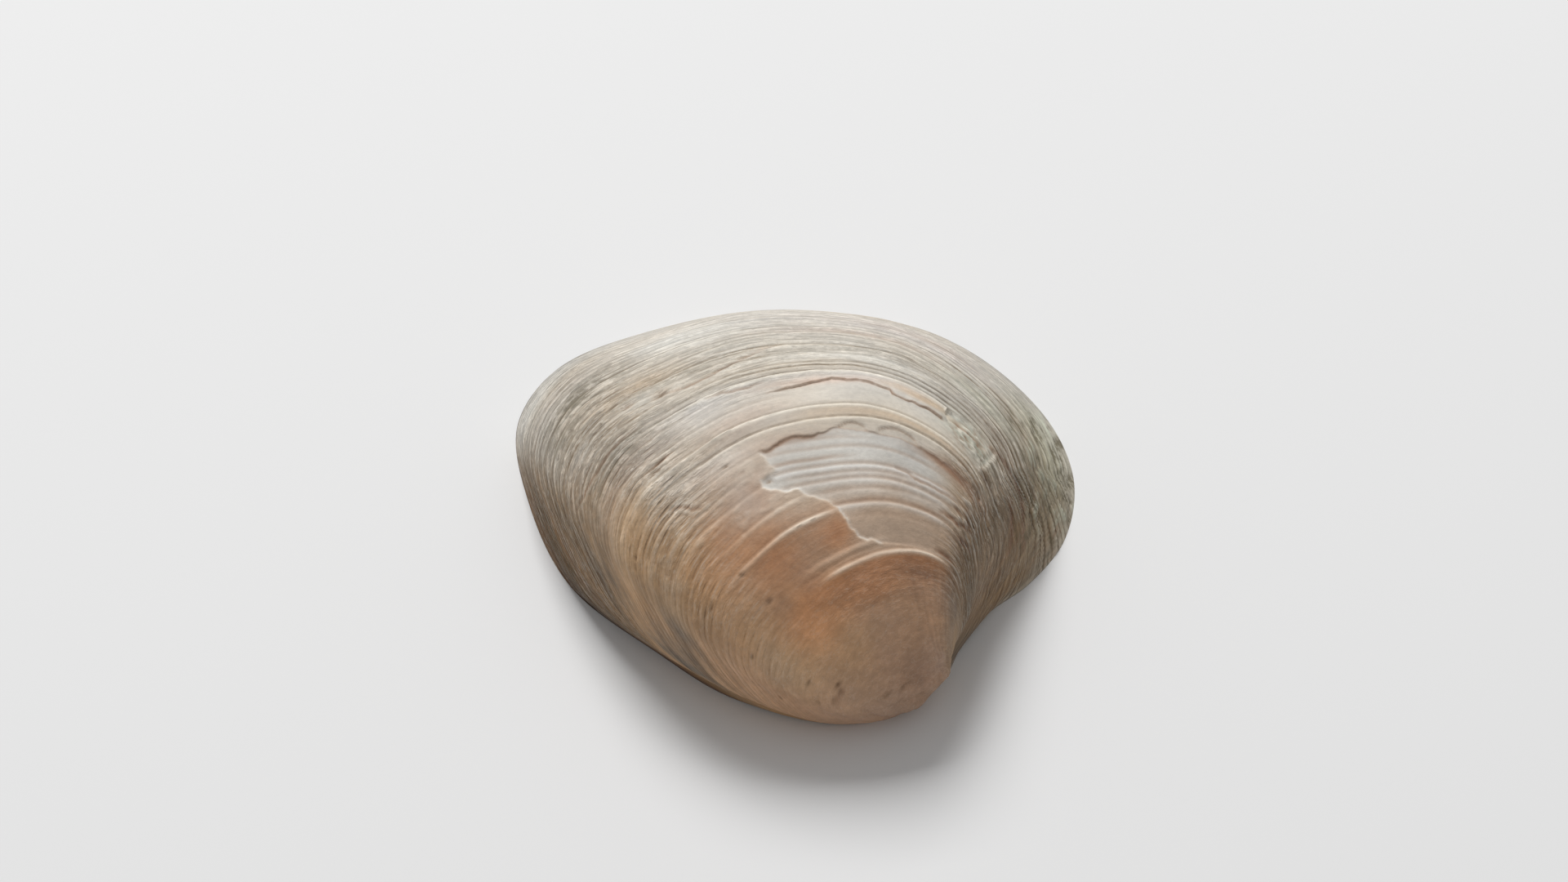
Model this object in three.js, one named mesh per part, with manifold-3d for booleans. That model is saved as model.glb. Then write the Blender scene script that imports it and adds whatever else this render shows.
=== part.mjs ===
// Fossil left valve of a thick-shelled clam, lying hollow side down on its flat rim.
// Millimetres, +Z up, +X towards the front end, +Y towards the free edge.
import * as THREE from "three";
import Module from "manifold-3d";

const wasm = await Module();
wasm.setup();

// The rim seen from above, from the beak round the front end, the free edge, the rear end and the hinge
const rimOutline = [
  [0.5, 3], [6, 10], [12.5, 15.5], [20.5, 19.5], [29.5, 27.5], [35, 41], [33, 58.5], [20.5, 78.5],
  [-5.5, 91.5], [-29, 92.5], [-46, 88.5], [-56, 78], [-58.5, 60.5], [-56, 40], [-45.5, 22.5],
  [-34.5, 8.5], [-21.5, 2], [-7, -1],
];
const planTurn = THREE.MathUtils.degToRad(40); // brings the shell's length along X

// Growth: every earlier rim is a smaller copy of the outline, swung up about an axis beside the hinge
const coilAxis = new THREE.Vector3(1, -0.174, 0.48).normalize();
const coilRate = 1.43; // radians of swing for each growth by a factor of e
const coilSlowing = 0.215; // how much of that swing the youngest shell lacks
const axisHeight = 4.2; // the axis above the rim plane
const youngStretch = 0.26; // how much longer than the outline the youngest rims are
const tipSize = 0.03; // the first ring, as a part of full size

// Growth ledges: size of the rim when each formed, height, and the stretch of rim that shows it.
// Places along a rim run from 0 at the beak to 1 back at the beak.
const ledges = [
  { size: 0.337, rise: 0.7, from: 0.18, to: 0.5 },
  { size: 0.42, rise: 0.4, from: 0.2, to: 0.56 },
  { size: 0.5, rise: 0.3, from: 0.42, to: 0.68 },
  { size: 0.602, rise: 0.7, from: 0.12, to: 0.62 },
  { size: 0.677, rise: 0.5, from: 0.12, to: 0.66 },
  { size: 0.755, rise: 0.4, from: 0.1, to: 0.7 },
  { size: 0.826, rise: 0.4, from: 0.1, to: 0.72 },
  { size: 0.885, rise: 0.35, from: 0.1, to: 0.74 },
  { size: 0.94, rise: 0.35, from: 0.1, to: 0.74 },
];
const ledgeRamp = 0.02; // size change over which a ledge rises on its older side
const ledgeDrop = 0.008; // and falls on its younger side
const ledgeFade = 0.06; // part of the rim over which its ends die out

// Two places where the outer layer has flaked off: [place along the rim, older edge, younger edge]
const upperFlake = {
  depth: 1.1,
  edges: [
    [0.2, 0.345, 0.56], [0.33, 0.35, 0.556], [0.37, 0.4, 0.55], [0.4, 0.455, 0.551], [0.44, 0.5, 0.549],
  ],
};
const outerFlake = {
  depth: 0.9,
  edges: [[0.2, 0.612, 0.645], [0.27, 0.612, 0.652], [0.33, 0.612, 0.658], [0.415, 0.615, 0.648]],
};
const flakeStep = 0.008; // size change over which a flaked edge drops
const flakeFoot = 0.6; // the depth at the older edge, as a part of the full depth

// The hollow under the valve, a leaning dome
const hollowOutline = [
  [28, 42], [26.5, 57], [16, 73.5], [-7, 84.5], [-29, 85.5], [-42, 81.5], [-49.5, 73],
  [-51.5, 59], [-48, 43], [-37.5, 28], [-21, 17.5], [-4, 16], [12, 23], [22.5, 31],
];
const hollowTop = new THREE.Vector3(-12, 36, 25.5);
const hollowFlare = 1.6; // 1 gives upright walls at the rim, 2 a straight cone

// Sockets for the hinge teeth of the other valve, fanned out below the beak
const socketRoot = new THREE.Vector2(1, 2.5);
const socketAngles = [76, 104, 136];
const socketReach = 4; // from the root to the near end
const socket = { length: 6.5, width: 2, nearWidth: 1, depth: 2.4 };
const socketTaper = 1; // how much shorter the roof is than the mouth, at each end

// Mesh fineness
const aroundRim = 64;
const aroundHollow = 40;
const hollowRings = 9;
const ringStep = 0.024; // size change between rings, once the shell is past its youngest part
const youngPart = 0.3; // the size up to which rings are spaced by a growing step instead
const youngStep = 1.25; // each of those rings is this many times the last one's size
const flakeRings = [0.543, 0.551, 0.559, 0.649, 0.657]; // rings on both sides of the flakes' younger edges
const ringSpacing = 0.4; // even rings closer than this part of a step to another ring are left out
const normalStep = 0.004; // the step that the surface's slope is measured over
const cutBelow = 2; // cuts from below start this far under the rim plane

function closedCurve(points) {
  const corners = points.map(([x, y]) => new THREE.Vector3(x, y, 0));
  const curve = new THREE.CatmullRomCurve3(corners, true, "centripetal");
  curve.arcLengthDivisions = 1000;
  return curve;
}

const rimCurve = closedCurve(rimOutline);

// The bare outer surface at a place along the rim, when the rim had the given size
function growthPoint(place, size) {
  const point = rimCurve.getPointAt(((place % 1) + 1) % 1);
  point.x *= 1 + youngStretch * (1 - size);
  point.z = -axisHeight;
  const growths = -Math.log(size);
  point.applyAxisAngle(coilAxis, coilRate * growths - coilSlowing * growths * growths);
  point.multiplyScalar(size);
  point.z += axisHeight;
  return point;
}

function outwardNormal(place, size) {
  const step = normalStep * size;
  const alongGrowth = growthPoint(place, Math.min(1, size + step)).sub(growthPoint(place, size - step));
  const alongRim = growthPoint(place + normalStep, size).sub(growthPoint(place - normalStep, size));
  return alongGrowth.cross(alongRim).normalize();
}

const smooth = (low, high, value) => THREE.MathUtils.smoothstep(value, low, high);

function ledgeRelief(place, size) {
  let relief = 0;
  for (const ledge of ledges) {
    const rise = smooth(ledge.size - ledgeRamp, ledge.size, size);
    const fall = 1 - smooth(ledge.size, ledge.size + ledgeDrop, size);
    const along = smooth(ledge.from - ledgeFade, ledge.from + ledgeFade, place)
      * (1 - smooth(ledge.to - ledgeFade, ledge.to + ledgeFade, place));
    relief += ledge.rise * rise * fall * along;
  }
  return relief;
}

// How deep the flaked place is, deepest under its younger edge
function flakeRelief(flake, place, size) {
  const { edges, depth } = flake;
  if (place < edges[0][0] || place > edges[edges.length - 1][0]) return 0;
  const next = edges.findIndex((edge) => edge[0] >= place) || 1;
  const [before, after] = [edges[next - 1], edges[next]];
  const share = (place - before[0]) / (after[0] - before[0]);
  const older = THREE.MathUtils.lerp(before[1], after[1], share);
  const younger = THREE.MathUtils.lerp(before[2], after[2], share);
  const inside = smooth(older - flakeStep, older, size) * (1 - smooth(younger, younger + flakeStep, size));
  const across = THREE.MathUtils.clamp((size - older) / (younger - older), 0, 1);
  const deepening = THREE.MathUtils.lerp(flakeFoot, 1, across);
  return -depth * inside * deepening;
}

function surfacePoint(place, size) {
  const point = growthPoint(place, size);
  if (size === 1) return point;
  const flaked = flakeRelief(upperFlake, place, size) + flakeRelief(outerFlake, place, size);
  return point.addScaledVector(outwardNormal(place, size), ledgeRelief(place, size) + flaked);
}

// Ring sizes: even steps, with a ring at the foot, crest and drop of each ledge and flaked edge
function ringSizes() {
  const marks = [...flakeRings];
  for (const { size } of ledges) marks.push(size - ledgeRamp / 2, size, size + ledgeDrop);
  const sizes = [...marks];
  for (let size = tipSize; size < youngPart; size *= youngStep) sizes.push(size);
  for (let size = youngPart; size < 1 - ringStep / 2; size += ringStep) {
    if (marks.every((mark) => Math.abs(mark - size) > ringStep * ringSpacing)) sizes.push(size);
  }
  sizes.push(1);
  return sizes.sort((a, b) => a - b);
}

function solidFrom(points, triangles) {
  const mesh = new wasm.Mesh({
    numProp: 3,
    vertProperties: new Float32Array(points.flatMap((p) => [p.x, p.y, p.z])),
    triVerts: new Uint32Array(triangles.flat()),
  });
  return new wasm.Manifold(mesh);
}

// A closed body through a stack of rings, each counter-clockwise seen from beyond the first one
function stackOfRings(rings) {
  const points = [];
  const triangles = [];
  const count = rings[0].length;
  for (const ring of rings) points.push(...ring);
  for (let level = 0; level + 1 < rings.length; level += 1) {
    for (let j = 0; j < count; j += 1) {
      const next = (j + 1) % count;
      const [a, b] = [level * count + j, level * count + next];
      const [c, d] = [a + count, b + count];
      triangles.push([a, c, d], [a, d, b]);
    }
  }
  const last = (rings.length - 1) * count;
  const firstCentre = points.push(centreOf(rings[0])) - 1;
  const lastCentre = points.push(centreOf(rings[rings.length - 1])) - 1;
  for (let j = 0; j < count; j += 1) {
    const next = (j + 1) % count;
    triangles.push([firstCentre, j, next], [lastCentre, last + next, last + j]);
  }
  return solidFrom(points, triangles);
}

function centreOf(ring) {
  const sum = ring.reduce((total, point) => total.add(point), new THREE.Vector3());
  return sum.multiplyScalar(1 / ring.length);
}

// The whole horn from beak to rim, one slice for each step of growth, joined
function outerBody() {
  const places = Array.from({ length: aroundRim }, (_, j) => j / aroundRim);
  const rings = ringSizes().map((size) => places.map((place) => surfacePoint(place, size)));
  const slices = [];
  for (let i = 0; i + 1 < rings.length; i += 1) slices.push(stackOfRings([rings[i], rings[i + 1]]));
  return wasm.Manifold.union(slices);
}

function hollow() {
  const curve = closedCurve(hollowOutline);
  const foot = Array.from({ length: aroundHollow }, (_, j) => curve.getPointAt(j / aroundHollow));
  const rings = [];
  for (let i = hollowRings - 1; i >= 0; i -= 1) {
    const turn = (i / hollowRings) * Math.PI / 2;
    const share = Math.cos(turn);
    const height = hollowTop.z * Math.sin(turn) ** hollowFlare;
    rings.push(foot.map((p) => new THREE.Vector3(
      hollowTop.x + (p.x - hollowTop.x) * share,
      hollowTop.y + (p.y - hollowTop.y) * share,
      height,
    )));
  }
  rings.push(foot.map((p) => new THREE.Vector3(p.x, p.y, -cutBelow)));
  return stackOfRings(rings);
}

function hingeSocket(degrees) {
  const angle = THREE.MathUtils.degToRad(degrees);
  const along = new THREE.Vector2(Math.cos(angle), Math.sin(angle));
  const across = new THREE.Vector2(-along.y, along.x);
  const corner = (distance, side, z) => {
    const spot = socketRoot.clone().addScaledVector(along, distance).addScaledVector(across, side);
    return new THREE.Vector3(spot.x, spot.y, z);
  };
  const ring = (z, taper) => {
    const [near, far] = [socketReach + taper, socketReach + socket.length - taper];
    const nearHalf = socket.nearWidth / 2 - taper / 4;
    const farHalf = socket.width / 2 - taper / 4;
    const sides = [[near, -nearHalf], [far, -farHalf], [far, farHalf], [near, nearHalf]];
    return sides.map(([distance, side]) => corner(distance, side, z));
  };
  return stackOfRings([ring(socket.depth, socketTaper), ring(-cutBelow, 0)]);
}

function leftValve() {
  let body = outerBody().subtract(hollow());
  for (const degrees of socketAngles) body = body.subtract(hingeSocket(degrees));
  const mesh = body.getMesh();
  const geometry = new THREE.BufferGeometry();
  geometry.setAttribute("position", new THREE.BufferAttribute(Float32Array.from(mesh.vertProperties), 3));
  geometry.setIndex(new THREE.BufferAttribute(Uint32Array.from(mesh.triVerts), 1));
  geometry.rotateZ(planTurn);
  geometry.computeBoundingBox();
  const { min, max } = geometry.boundingBox;
  geometry.translate(-(min.x + max.x) / 2, -(min.y + max.y) / 2, -min.z);
  geometry.computeVertexNormals();
  const material = new THREE.MeshStandardMaterial({ color: 0xa8967f, roughness: 0.7, metalness: 0 });
  const valve = new THREE.Mesh(geometry, material);
  valve.name = "left_valve";
  return valve;
}

const group = new THREE.Group();
group.add(leftValve());
export default group;
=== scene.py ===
import math

import bmesh
import bpy
import numpy as np
from mathutils import Matrix, Vector
from mathutils.kdtree import KDTree


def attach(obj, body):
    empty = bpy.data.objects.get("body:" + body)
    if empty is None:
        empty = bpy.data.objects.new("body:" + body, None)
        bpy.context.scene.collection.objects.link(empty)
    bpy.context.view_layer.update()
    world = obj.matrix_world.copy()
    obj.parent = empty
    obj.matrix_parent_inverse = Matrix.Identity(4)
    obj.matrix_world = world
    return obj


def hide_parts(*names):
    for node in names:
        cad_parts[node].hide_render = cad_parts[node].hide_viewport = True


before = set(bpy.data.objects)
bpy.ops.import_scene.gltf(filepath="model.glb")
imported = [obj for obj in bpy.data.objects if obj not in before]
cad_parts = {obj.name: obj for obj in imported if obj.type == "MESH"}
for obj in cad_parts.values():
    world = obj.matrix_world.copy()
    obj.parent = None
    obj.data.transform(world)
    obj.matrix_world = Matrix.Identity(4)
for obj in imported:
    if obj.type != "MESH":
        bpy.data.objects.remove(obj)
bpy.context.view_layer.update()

MM = 0.001

# The rim seen from above, from the beak round the front end, the free edge, the rear end and the hinge
RIM_OUTLINE = [
    (0.5, 3), (6, 10), (12.5, 15.5), (20.5, 19.5), (29.5, 27.5), (35, 41), (33, 58.5), (20.5, 78.5),
    (-5.5, 91.5), (-29, 92.5), (-46, 88.5), (-56, 78), (-58.5, 60.5), (-56, 40), (-45.5, 22.5),
    (-34.5, 8.5), (-21.5, 2), (-7, -1),
]
HOLLOW_OUTLINE = [
    (-4, 16), (12, 23), (22.5, 31), (28, 42), (26.5, 57), (16, 73.5), (-7, 84.5), (-29, 85.5),
    (-42, 81.5), (-49.5, 73), (-51.5, 59), (-48, 43), (-37.5, 28), (-21, 17.5),
]
PLAN_TURN = math.radians(40)

# Growth: every earlier rim is a smaller copy of the outline, swung up about an axis beside the hinge
COIL_AXIS = np.array([1, -0.174, 0.48]) / np.linalg.norm([1, -0.174, 0.48])
COIL_RATE = 1.43
COIL_SLOWING = 0.215
AXIS_HEIGHT = 4.2
YOUNG_STRETCH = 0.26
TIP_SIZE = 0.03
HOLLOW_TOP = np.array([-12, 36, 25.5])
HOLLOW_FLARE = 1.6

# The hinge: three sockets fanning out below the beak, in the flat rim
SOCKET_ROOT = (1, 2.5)
SOCKET_ANGLES = [76, 104, 136]
SOCKET_REACH = 4  # from the root to the near end
SOCKET_LENGTH = 6.5
SOCKET_WIDTHS = (1, 2)  # at the near and the far end
SOCKET_DEPTH = 2.4
SOCKET_SLOPE = 0.5
SOCKET_MARGIN = 1.4  # round each socket, where the rim's faces are made finer

# Inside: where the two closing muscles were held (place, share of the way up), the share of the way up of
# the line between them, and how deep they are
SCARS = [(0.2, 0.42), (0.64, 0.42)]
MANTLE_LINE = 0.3
SCAR_DEPTH = 0.3

# Fineness of the mesh, closer where the camera looks: (place or size, how close)
COLUMNS = 262
ROWS = 324
RIM_ROWS = 10
HOLLOW_ROWS = 26
COLUMN_CLOSENESS = [
    (0, 0.5), (0.08, 0.9), (0.16, 1.5), (0.3, 1.6), (0.46, 1.7), (0.6, 1.1), (0.8, 0.8), (0.9, 0.5), (1, 0.5),
]
ROW_CLOSENESS = [(TIP_SIZE, 0.7), (0.3, 0.9), (0.33, 1.5), (0.68, 1.5), (0.72, 1.2), (1, 1.2)]

# The hollow in front of the beak: how many times it is evened out, how much of the change is kept, and the
# millimetres that it swells besides
NECK_ROUNDS = 900
NECK_FILL = 1.4
NECK_SWELL = 2.0

# Millimetres to a unit: of place round the whole rim, of place half way out, and of size in front
RIM_LENGTH = 299
MIDDLE_LENGTH = 160
GROWTH_LENGTH = 125
LINE_STEP = 0.3  # between the points of a roughened line

# The line of painted shade beside a ledge's edge, in millimetres
LEDGE_LINE_PLACE = 0.55
LEDGE_LINE_WIDTH = 0.5

# The camera, measured on the photograph: where it looks and how far off it stands
VIEW_AZIMUTH = 25.07
VIEW_ELEVATION = 50.59
VIEW_ROLL = -0.26
VIEW_DISTANCE = 1400
VIEW_TARGET = (-14.56, 42.56, 11.2)
VIEW_SLIDE = (2.35, -7.84)  # the target's place right of and above the middle of the picture
VIEW_SCALE = 7.069  # pixels of the 1920 wide photograph to a millimetre at the target
PHOTO_WIDTH = 1920
SENSOR_WIDTH = 36

# The big soft lamp behind and above the shell, seen from the camera
LIGHT_AZIMUTH = VIEW_AZIMUTH + 194
LIGHT_ELEVATION = 46
LIGHT_DISTANCE = 2.5
LIGHT_SIZE = 1.1
LIGHT_POWER = 58
SURROUND_STRENGTH = 0.34  # of the pale light all round

# The floor: half its side, in metres, and its grey, 0 to 255
FLOOR_HALF = 3
FLOOR_GREY = 232

# Broken edges, as lines of (place, size), and the rows that run along the two breaks
UPPER_ROW = 0.545
OUTER_ROW = 0.646
UPPER_BREAK = [
    (0.165, 0.572), (0.188, 0.554), (0.214, 0.543), (0.238, 0.541), (0.258, 0.541), (0.282, 0.541),
    (0.306, 0.543), (0.324, 0.541), (0.338, 0.545), (0.353, 0.548), (0.362, 0.549), (0.379, 0.544),
    (0.395, 0.546), (0.412, 0.547), (0.425, 0.541), (0.438, 0.541),
]
UPPER_CHIP = [
    (0.438, 0.541), (0.435, 0.528), (0.434, 0.517), (0.428, 0.505), (0.436, 0.502), (0.446, 0.499),
    (0.446, 0.491), (0.44, 0.482), (0.428, 0.469), (0.412, 0.466), (0.408, 0.455), (0.397, 0.444),
    (0.387, 0.436), (0.377, 0.42), (0.37, 0.403), (0.366, 0.384), (0.358, 0.368), (0.344, 0.361),
    (0.331, 0.351),
]
UPPER_FOOT = [
    (0.16, 0.35), (0.2, 0.345), (0.25, 0.344), (0.3, 0.345), (0.331, 0.351),
]
OUTER_BREAK = [
    (0.255, 0.641), (0.271, 0.644), (0.287, 0.637), (0.305, 0.637), (0.31, 0.644), (0.322, 0.649),
    (0.332, 0.651), (0.35, 0.651), (0.362, 0.657), (0.373, 0.652), (0.388, 0.645), (0.401, 0.643),
    (0.417, 0.641),
]
OUTER_CHIP = [
    (0.255, 0.641), (0.255, 0.67), (0.242, 0.683), (0.224, 0.692), (0.205, 0.692), (0.199, 0.699),
    (0.198, 0.66), (0.198, 0.625), (0.205, 0.608),
]
OUTER_FOOT = [
    (0.205, 0.608), (0.26, 0.604), (0.33, 0.605), (0.4, 0.608), (0.43, 0.615), (0.417, 0.641),
]
# Thin scabs gone from above the upper break: (place from, place to, size reached)
SCABS = [(0.329, 0.358, 0.56), (0.274, 0.317, 0.56)]

# Ledges: (size, rise, groove on the younger side, place from, place to, width of the rise, width of the drop,
# how pale the crest is, how dark the groove), in millimetres and from 0 to 1. The pale crest is partly a
# painted highlight, and the groove's dark line is painted shade
LEDGES = [
    (0.336, 0.42, 0.05, 0.215, 0.42, 1.4, 0.35, 1.0, 0.0),
    (0.344, 0.00, 0.12, 0.33, 0.45, 0.5, 0.4, 0.0, 0.4),
    (0.357, 0.18, 0.08, 0.335, 0.45, 0.9, 0.7, 0.25, 0.0),
    (0.417, 0.42, 0.08, 0.385, 0.52, 0.9, 0.4, 1.2, 0.3),
    (0.451, 0.22, 0.06, 0.41, 0.52, 0.9, 0.4, 0.7, 0.2),
    (0.490, 0.20, 0.08, 0.45, 0.60, 1.0, 0.4, 0.5, 0.4),
    (0.512, 0.16, 0.08, 0.46, 0.58, 0.9, 0.4, 0.4, 0.4),
    (0.537, 0.18, 0.08, 0.45, 0.60, 1.0, 0.4, 0.4, 0.4),
    (0.570, 0.26, 0.16, 0.17, 0.56, 0.8, 0.4, 0.8, 0.9),
    (0.595, 0.42, 0.10, 0.18, 0.56, 1.2, 0.4, 1.5, 0.6),
    (0.625, 0.14, 0.10, 0.40, 0.62, 0.8, 0.4, 0.4, 0.4),
    (0.675, 0.42, 0.16, 0.17, 0.58, 1.6, 0.4, 1.6, 1.0),
    (0.688, 0.14, 0.16, 0.12, 0.44, 0.6, 0.25, 0.5, 1.0),
    (0.700, 0.16, 0.18, 0.12, 0.46, 0.6, 0.25, 0.4, 1.2),
    (0.714, 0.16, 0.18, 0.12, 0.34, 0.6, 0.25, 0.5, 1.1),
    (0.728, 0.20, 0.22, 0.11, 0.27, 0.8, 0.3, 0.5, 1.3),
    (0.753, 0.26, 0.24, 0.10, 0.66, 1.6, 0.3, 0.9, 1.5),
    (0.772, 0.18, 0.20, 0.09, 0.24, 0.8, 0.3, 0.5, 1.3),
    (0.797, 0.10, 0.12, 0.10, 0.66, 1.2, 0.3, 0.4, 0.7),
    (0.826, 0.16, 0.20, 0.10, 0.66, 1.4, 0.3, 0.4, 1.3),
    (0.843, 0.14, 0.16, 0.10, 0.30, 0.8, 0.3, 0.4, 1.1),
    (0.860, 0.12, 0.14, 0.10, 0.45, 1.2, 0.3, 0.3, 1.1),
    (0.885, 0.10, 0.14, 0.08, 0.74, 1.3, 0.3, 0.3, 0.7),
    (0.940, 0.12, 0.14, 0.06, 0.74, 1.2, 0.3, 0.3, 0.6),
]
# The same on the floor of the upper flake
FLOOR_LEDGES = [
    (0.524, 0.05, 0.04, 0.34, 0.44, 0.7, 0.4, 0.3, 0.6),
    (0.508, 0.06, 0.05, 0.24, 0.44, 0.8, 0.5, 0.2, 0.5),
    (0.490, 0.12, 0.08, 0.36, 0.44, 0.8, 0.5, 0.5, 1.0),
    (0.4755, 0.22, 0.10, 0.20, 0.44, 1.0, 0.6, 0.8, 0.6),
    (0.464, 0.08, 0.06, 0.27, 0.42, 0.7, 0.4, 0.4, 0.5),
    (0.452, 0.15, 0.08, 0.22, 0.43, 0.9, 0.5, 0.6, 0.6),
    (0.434, 0.08, 0.06, 0.24, 0.40, 0.9, 0.6, 0.3, 0.5),
    (0.413, 0.22, 0.12, 0.22, 0.385, 1.1, 0.6, 0.7, 0.9),
    (0.390, 0.03, 0.02, 0.24, 0.36, 0.8, 0.5, 0.0, 0.2),
]

# Pits and scars: place, size, length and width in millimetres, depth
PITS = [
    (0.5, 0.729, 3.4, 1.9, 0.4), (0.526, 0.739, 2.6, 1.4, 0.25), (0.53, 0.615, 4.5, 0.45, 0.3),
    (0.531, 0.607, 3.5, 0.4, 0.2), (0.519, 0.414, 1.2, 1.0, 0.25), (0.513, 0.364, 1.4, 1.1, 0.25),
    (0.602, 0.566, 1.0, 0.8, 0.25), (0.612, 0.566, 1.2, 0.8, 0.25), (0.575, 0.423, 1.6, 0.8, 0.25),
    (0.538, 0.22, 1.5, 0.9, 0.35), (0.551, 0.213, 1.3, 0.8, 0.35), (0.579, 0.214, 2.0, 0.8, 0.3),
    (0.569, 0.258, 1.6, 0.7, 0.2), (0.501, 0.15, 2.2, 1.0, 0.25), (0.438, 0.134, 2.0, 1.0, 0.2),
    (0.608, 0.239, 1.6, 0.7, 0.2), (0.661, 0.321, 1.6, 0.8, 0.2), (0.308, 0.203, 2.0, 0.8, 0.08),
    (0.592, 0.348, 1.4, 0.9, 0.2), (0.506, 0.512, 2.6, 0.5, 0.2), (0.538, 0.55, 2.4, 0.5, 0.2),
    (0.473, 0.548, 1.2, 0.5, 0.3), (0.439, 0.494, 1.3, 0.9, 0.3), (0.194, 0.461, 1.6, 0.8, 0.35),
    (0.177, 0.474, 1.6, 0.8, 0.35),
]
# Pale flecks and dark crumbs beside the flakes: place, size, and whether pale
FLECKS = [
    (0.197, 0.456, 1), (0.187, 0.465, 1), (0.198, 0.508, 1), (0.19, 0.515, 1), (0.18, 0.478, 0),
    (0.171, 0.491, 0), (0.205, 0.467, 0), (0.189, 0.618, 0), (0.18, 0.621, 0), (0.232, 0.657, 1),
]

# Cracks and the sharp feet of broken layers: lines of (place, size). Those that start
# beyond a size have a pale lip
CRACKS = [
    [(0.295, 0.479), (0.263, 0.471), (0.228, 0.475), (0.2, 0.485)],
    [(0.23, 0.435), (0.199, 0.441), (0.163, 0.48)],
    [(0.192, 0.414), (0.158, 0.439)],
    [(0.232, 0.351), (0.191, 0.35)],
    [(0.5, 0.728), (0.478, 0.716), (0.457, 0.718), (0.436, 0.729), (0.422, 0.741), (0.398, 0.754)],
    [(0.465, 0.668), (0.45, 0.667), (0.433, 0.661), (0.418, 0.664)],
    [(0.533, 0.614), (0.512, 0.617)],
    [(0.628, 0.731), (0.602, 0.702), (0.578, 0.691), (0.552, 0.689), (0.529, 0.694)],
    [(0.539, 0.547), (0.528, 0.539), (0.522, 0.525), (0.514, 0.52)],
    [(0.207, 0.694), (0.182, 0.721), (0.162, 0.751), (0.146, 0.768), (0.128, 0.795), (0.113, 0.849)],
    [(0.247, 0.657), (0.229, 0.659), (0.206, 0.67)],
    [(0.162, 0.693), (0.138, 0.714), (0.113, 0.757)],
    [(0.586, 0.209), (0.546, 0.209), (0.537, 0.221)],
]
LIPS_FROM = 0.4

# Sets of overlapping growth layers: how many in all, and the seed of their wander
LAYER_SETS = {"fine": (88, 83), "wide": (38, 81), "bold": (55, 85)}

# The shell's colours, red, green and blue as seen, with painted highlights and shades among them
SHELL_COLOURS = {
    "white": (224, 221, 213), "chalk": (204, 198, 190), "cream": (194, 188, 178), "stone": (182, 172, 158),
    "ash": (178, 176, 171), "sage": (166, 170, 152), "blush": (204, 185, 172), "mauve": (170, 152, 139),
    "straw": (204, 177, 147), "honey": (205, 163, 123), "ochre": (184, 147, 109), "clay": (184, 147, 118),
    "fawn": (168, 138, 116), "sand": (173, 151, 131), "dun": (158, 143, 124), "tan": (160, 132, 103),
    "umber": (149, 121, 90), "rust": (174, 122, 84), "orange": (220, 160, 112), "brown": (148, 112, 88),
    # The grey at 120, 108, 96 and the near-black at 82, 66, 60 are painted shade
    "bark": (126, 97, 71), "peat": (126, 92, 50), "shade_grey": (120, 108, 96), "deep_shade": (82, 66, 60),
    # The pale at 232, 226, 214 is a painted highlight on the layers' crests
    "crest": (230, 223, 209), "frost": (216, 215, 212), "edge": (230, 224, 212), "crest_highlight": (232, 226, 214),
    # The dark brown at 132, 98, 75 is partly painted shade, and the pale sage at 196, 200, 182 a painted
    # highlight
    "fleck": (224, 218, 205), "shade_and_crack": (132, 98, 75), "blot_highlight": (196, 200, 182), "pit": (112, 84, 60),
    "loam": (102, 94, 72), "inside": (186, 176, 160),
}
# What is added where the colour is warmest, and where the inside's mottling is palest
WARMTH = np.array([3, 0, -4])
INNER_MOTTLE = np.array([14, 16, 20])
LINE_SHADE = (0.4, 0.35, 0.29, 1)  # by which the thin dark lines multiply the colour

# Which of them the shell has along its growth, at four stretches of the rim: (size, colour)
FRONT_BANDS = [
    (0.3, "tan"), (0.7, "tan"), (0.8, "umber"), (0.92, "umber"), (1, "stone"),
]
MIDDLE_BANDS = [
    (0.03, "fawn"), (0.12, "fawn"), (0.2, "clay"), (0.27, "clay"), (0.325, "rust"), (0.345, "sand"),
    (0.4, "sand"), (0.48, "stone"), (0.56, "stone"), (0.585, "stone"), (0.62, "cream"), (0.668, "chalk"),
    (0.69, "stone"), (0.78, "cream"), (0.88, "chalk"), (1, "cream"),
]
REAR_BANDS = [
    (0.03, "fawn"), (0.14, "fawn"), (0.28, "honey"), (0.38, "honey"), (0.46, "ochre"), (0.52, "ochre"),
    (0.6, "straw"), (0.64, "sand"), (0.7, "dun"), (0.78, "stone"), (0.9, "stone"), (1, "ash"),
]
BACK_BANDS = [
    (0.03, "fawn"), (0.3, "clay"), (0.65, "ochre"), (0.8, "tan"), (0.86, "umber"), (0.92, "bark"),
    (1, "bark"),
]
BAND_PLACES = [
    (0.02, FRONT_BANDS), (0.14, FRONT_BANDS), (0.25, MIDDLE_BANDS), (0.48, MIDDLE_BANDS),
    (0.575, REAR_BANDS), (0.61, REAR_BANDS), (0.665, BACK_BANDS), (0.98, BACK_BANDS),
]
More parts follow.
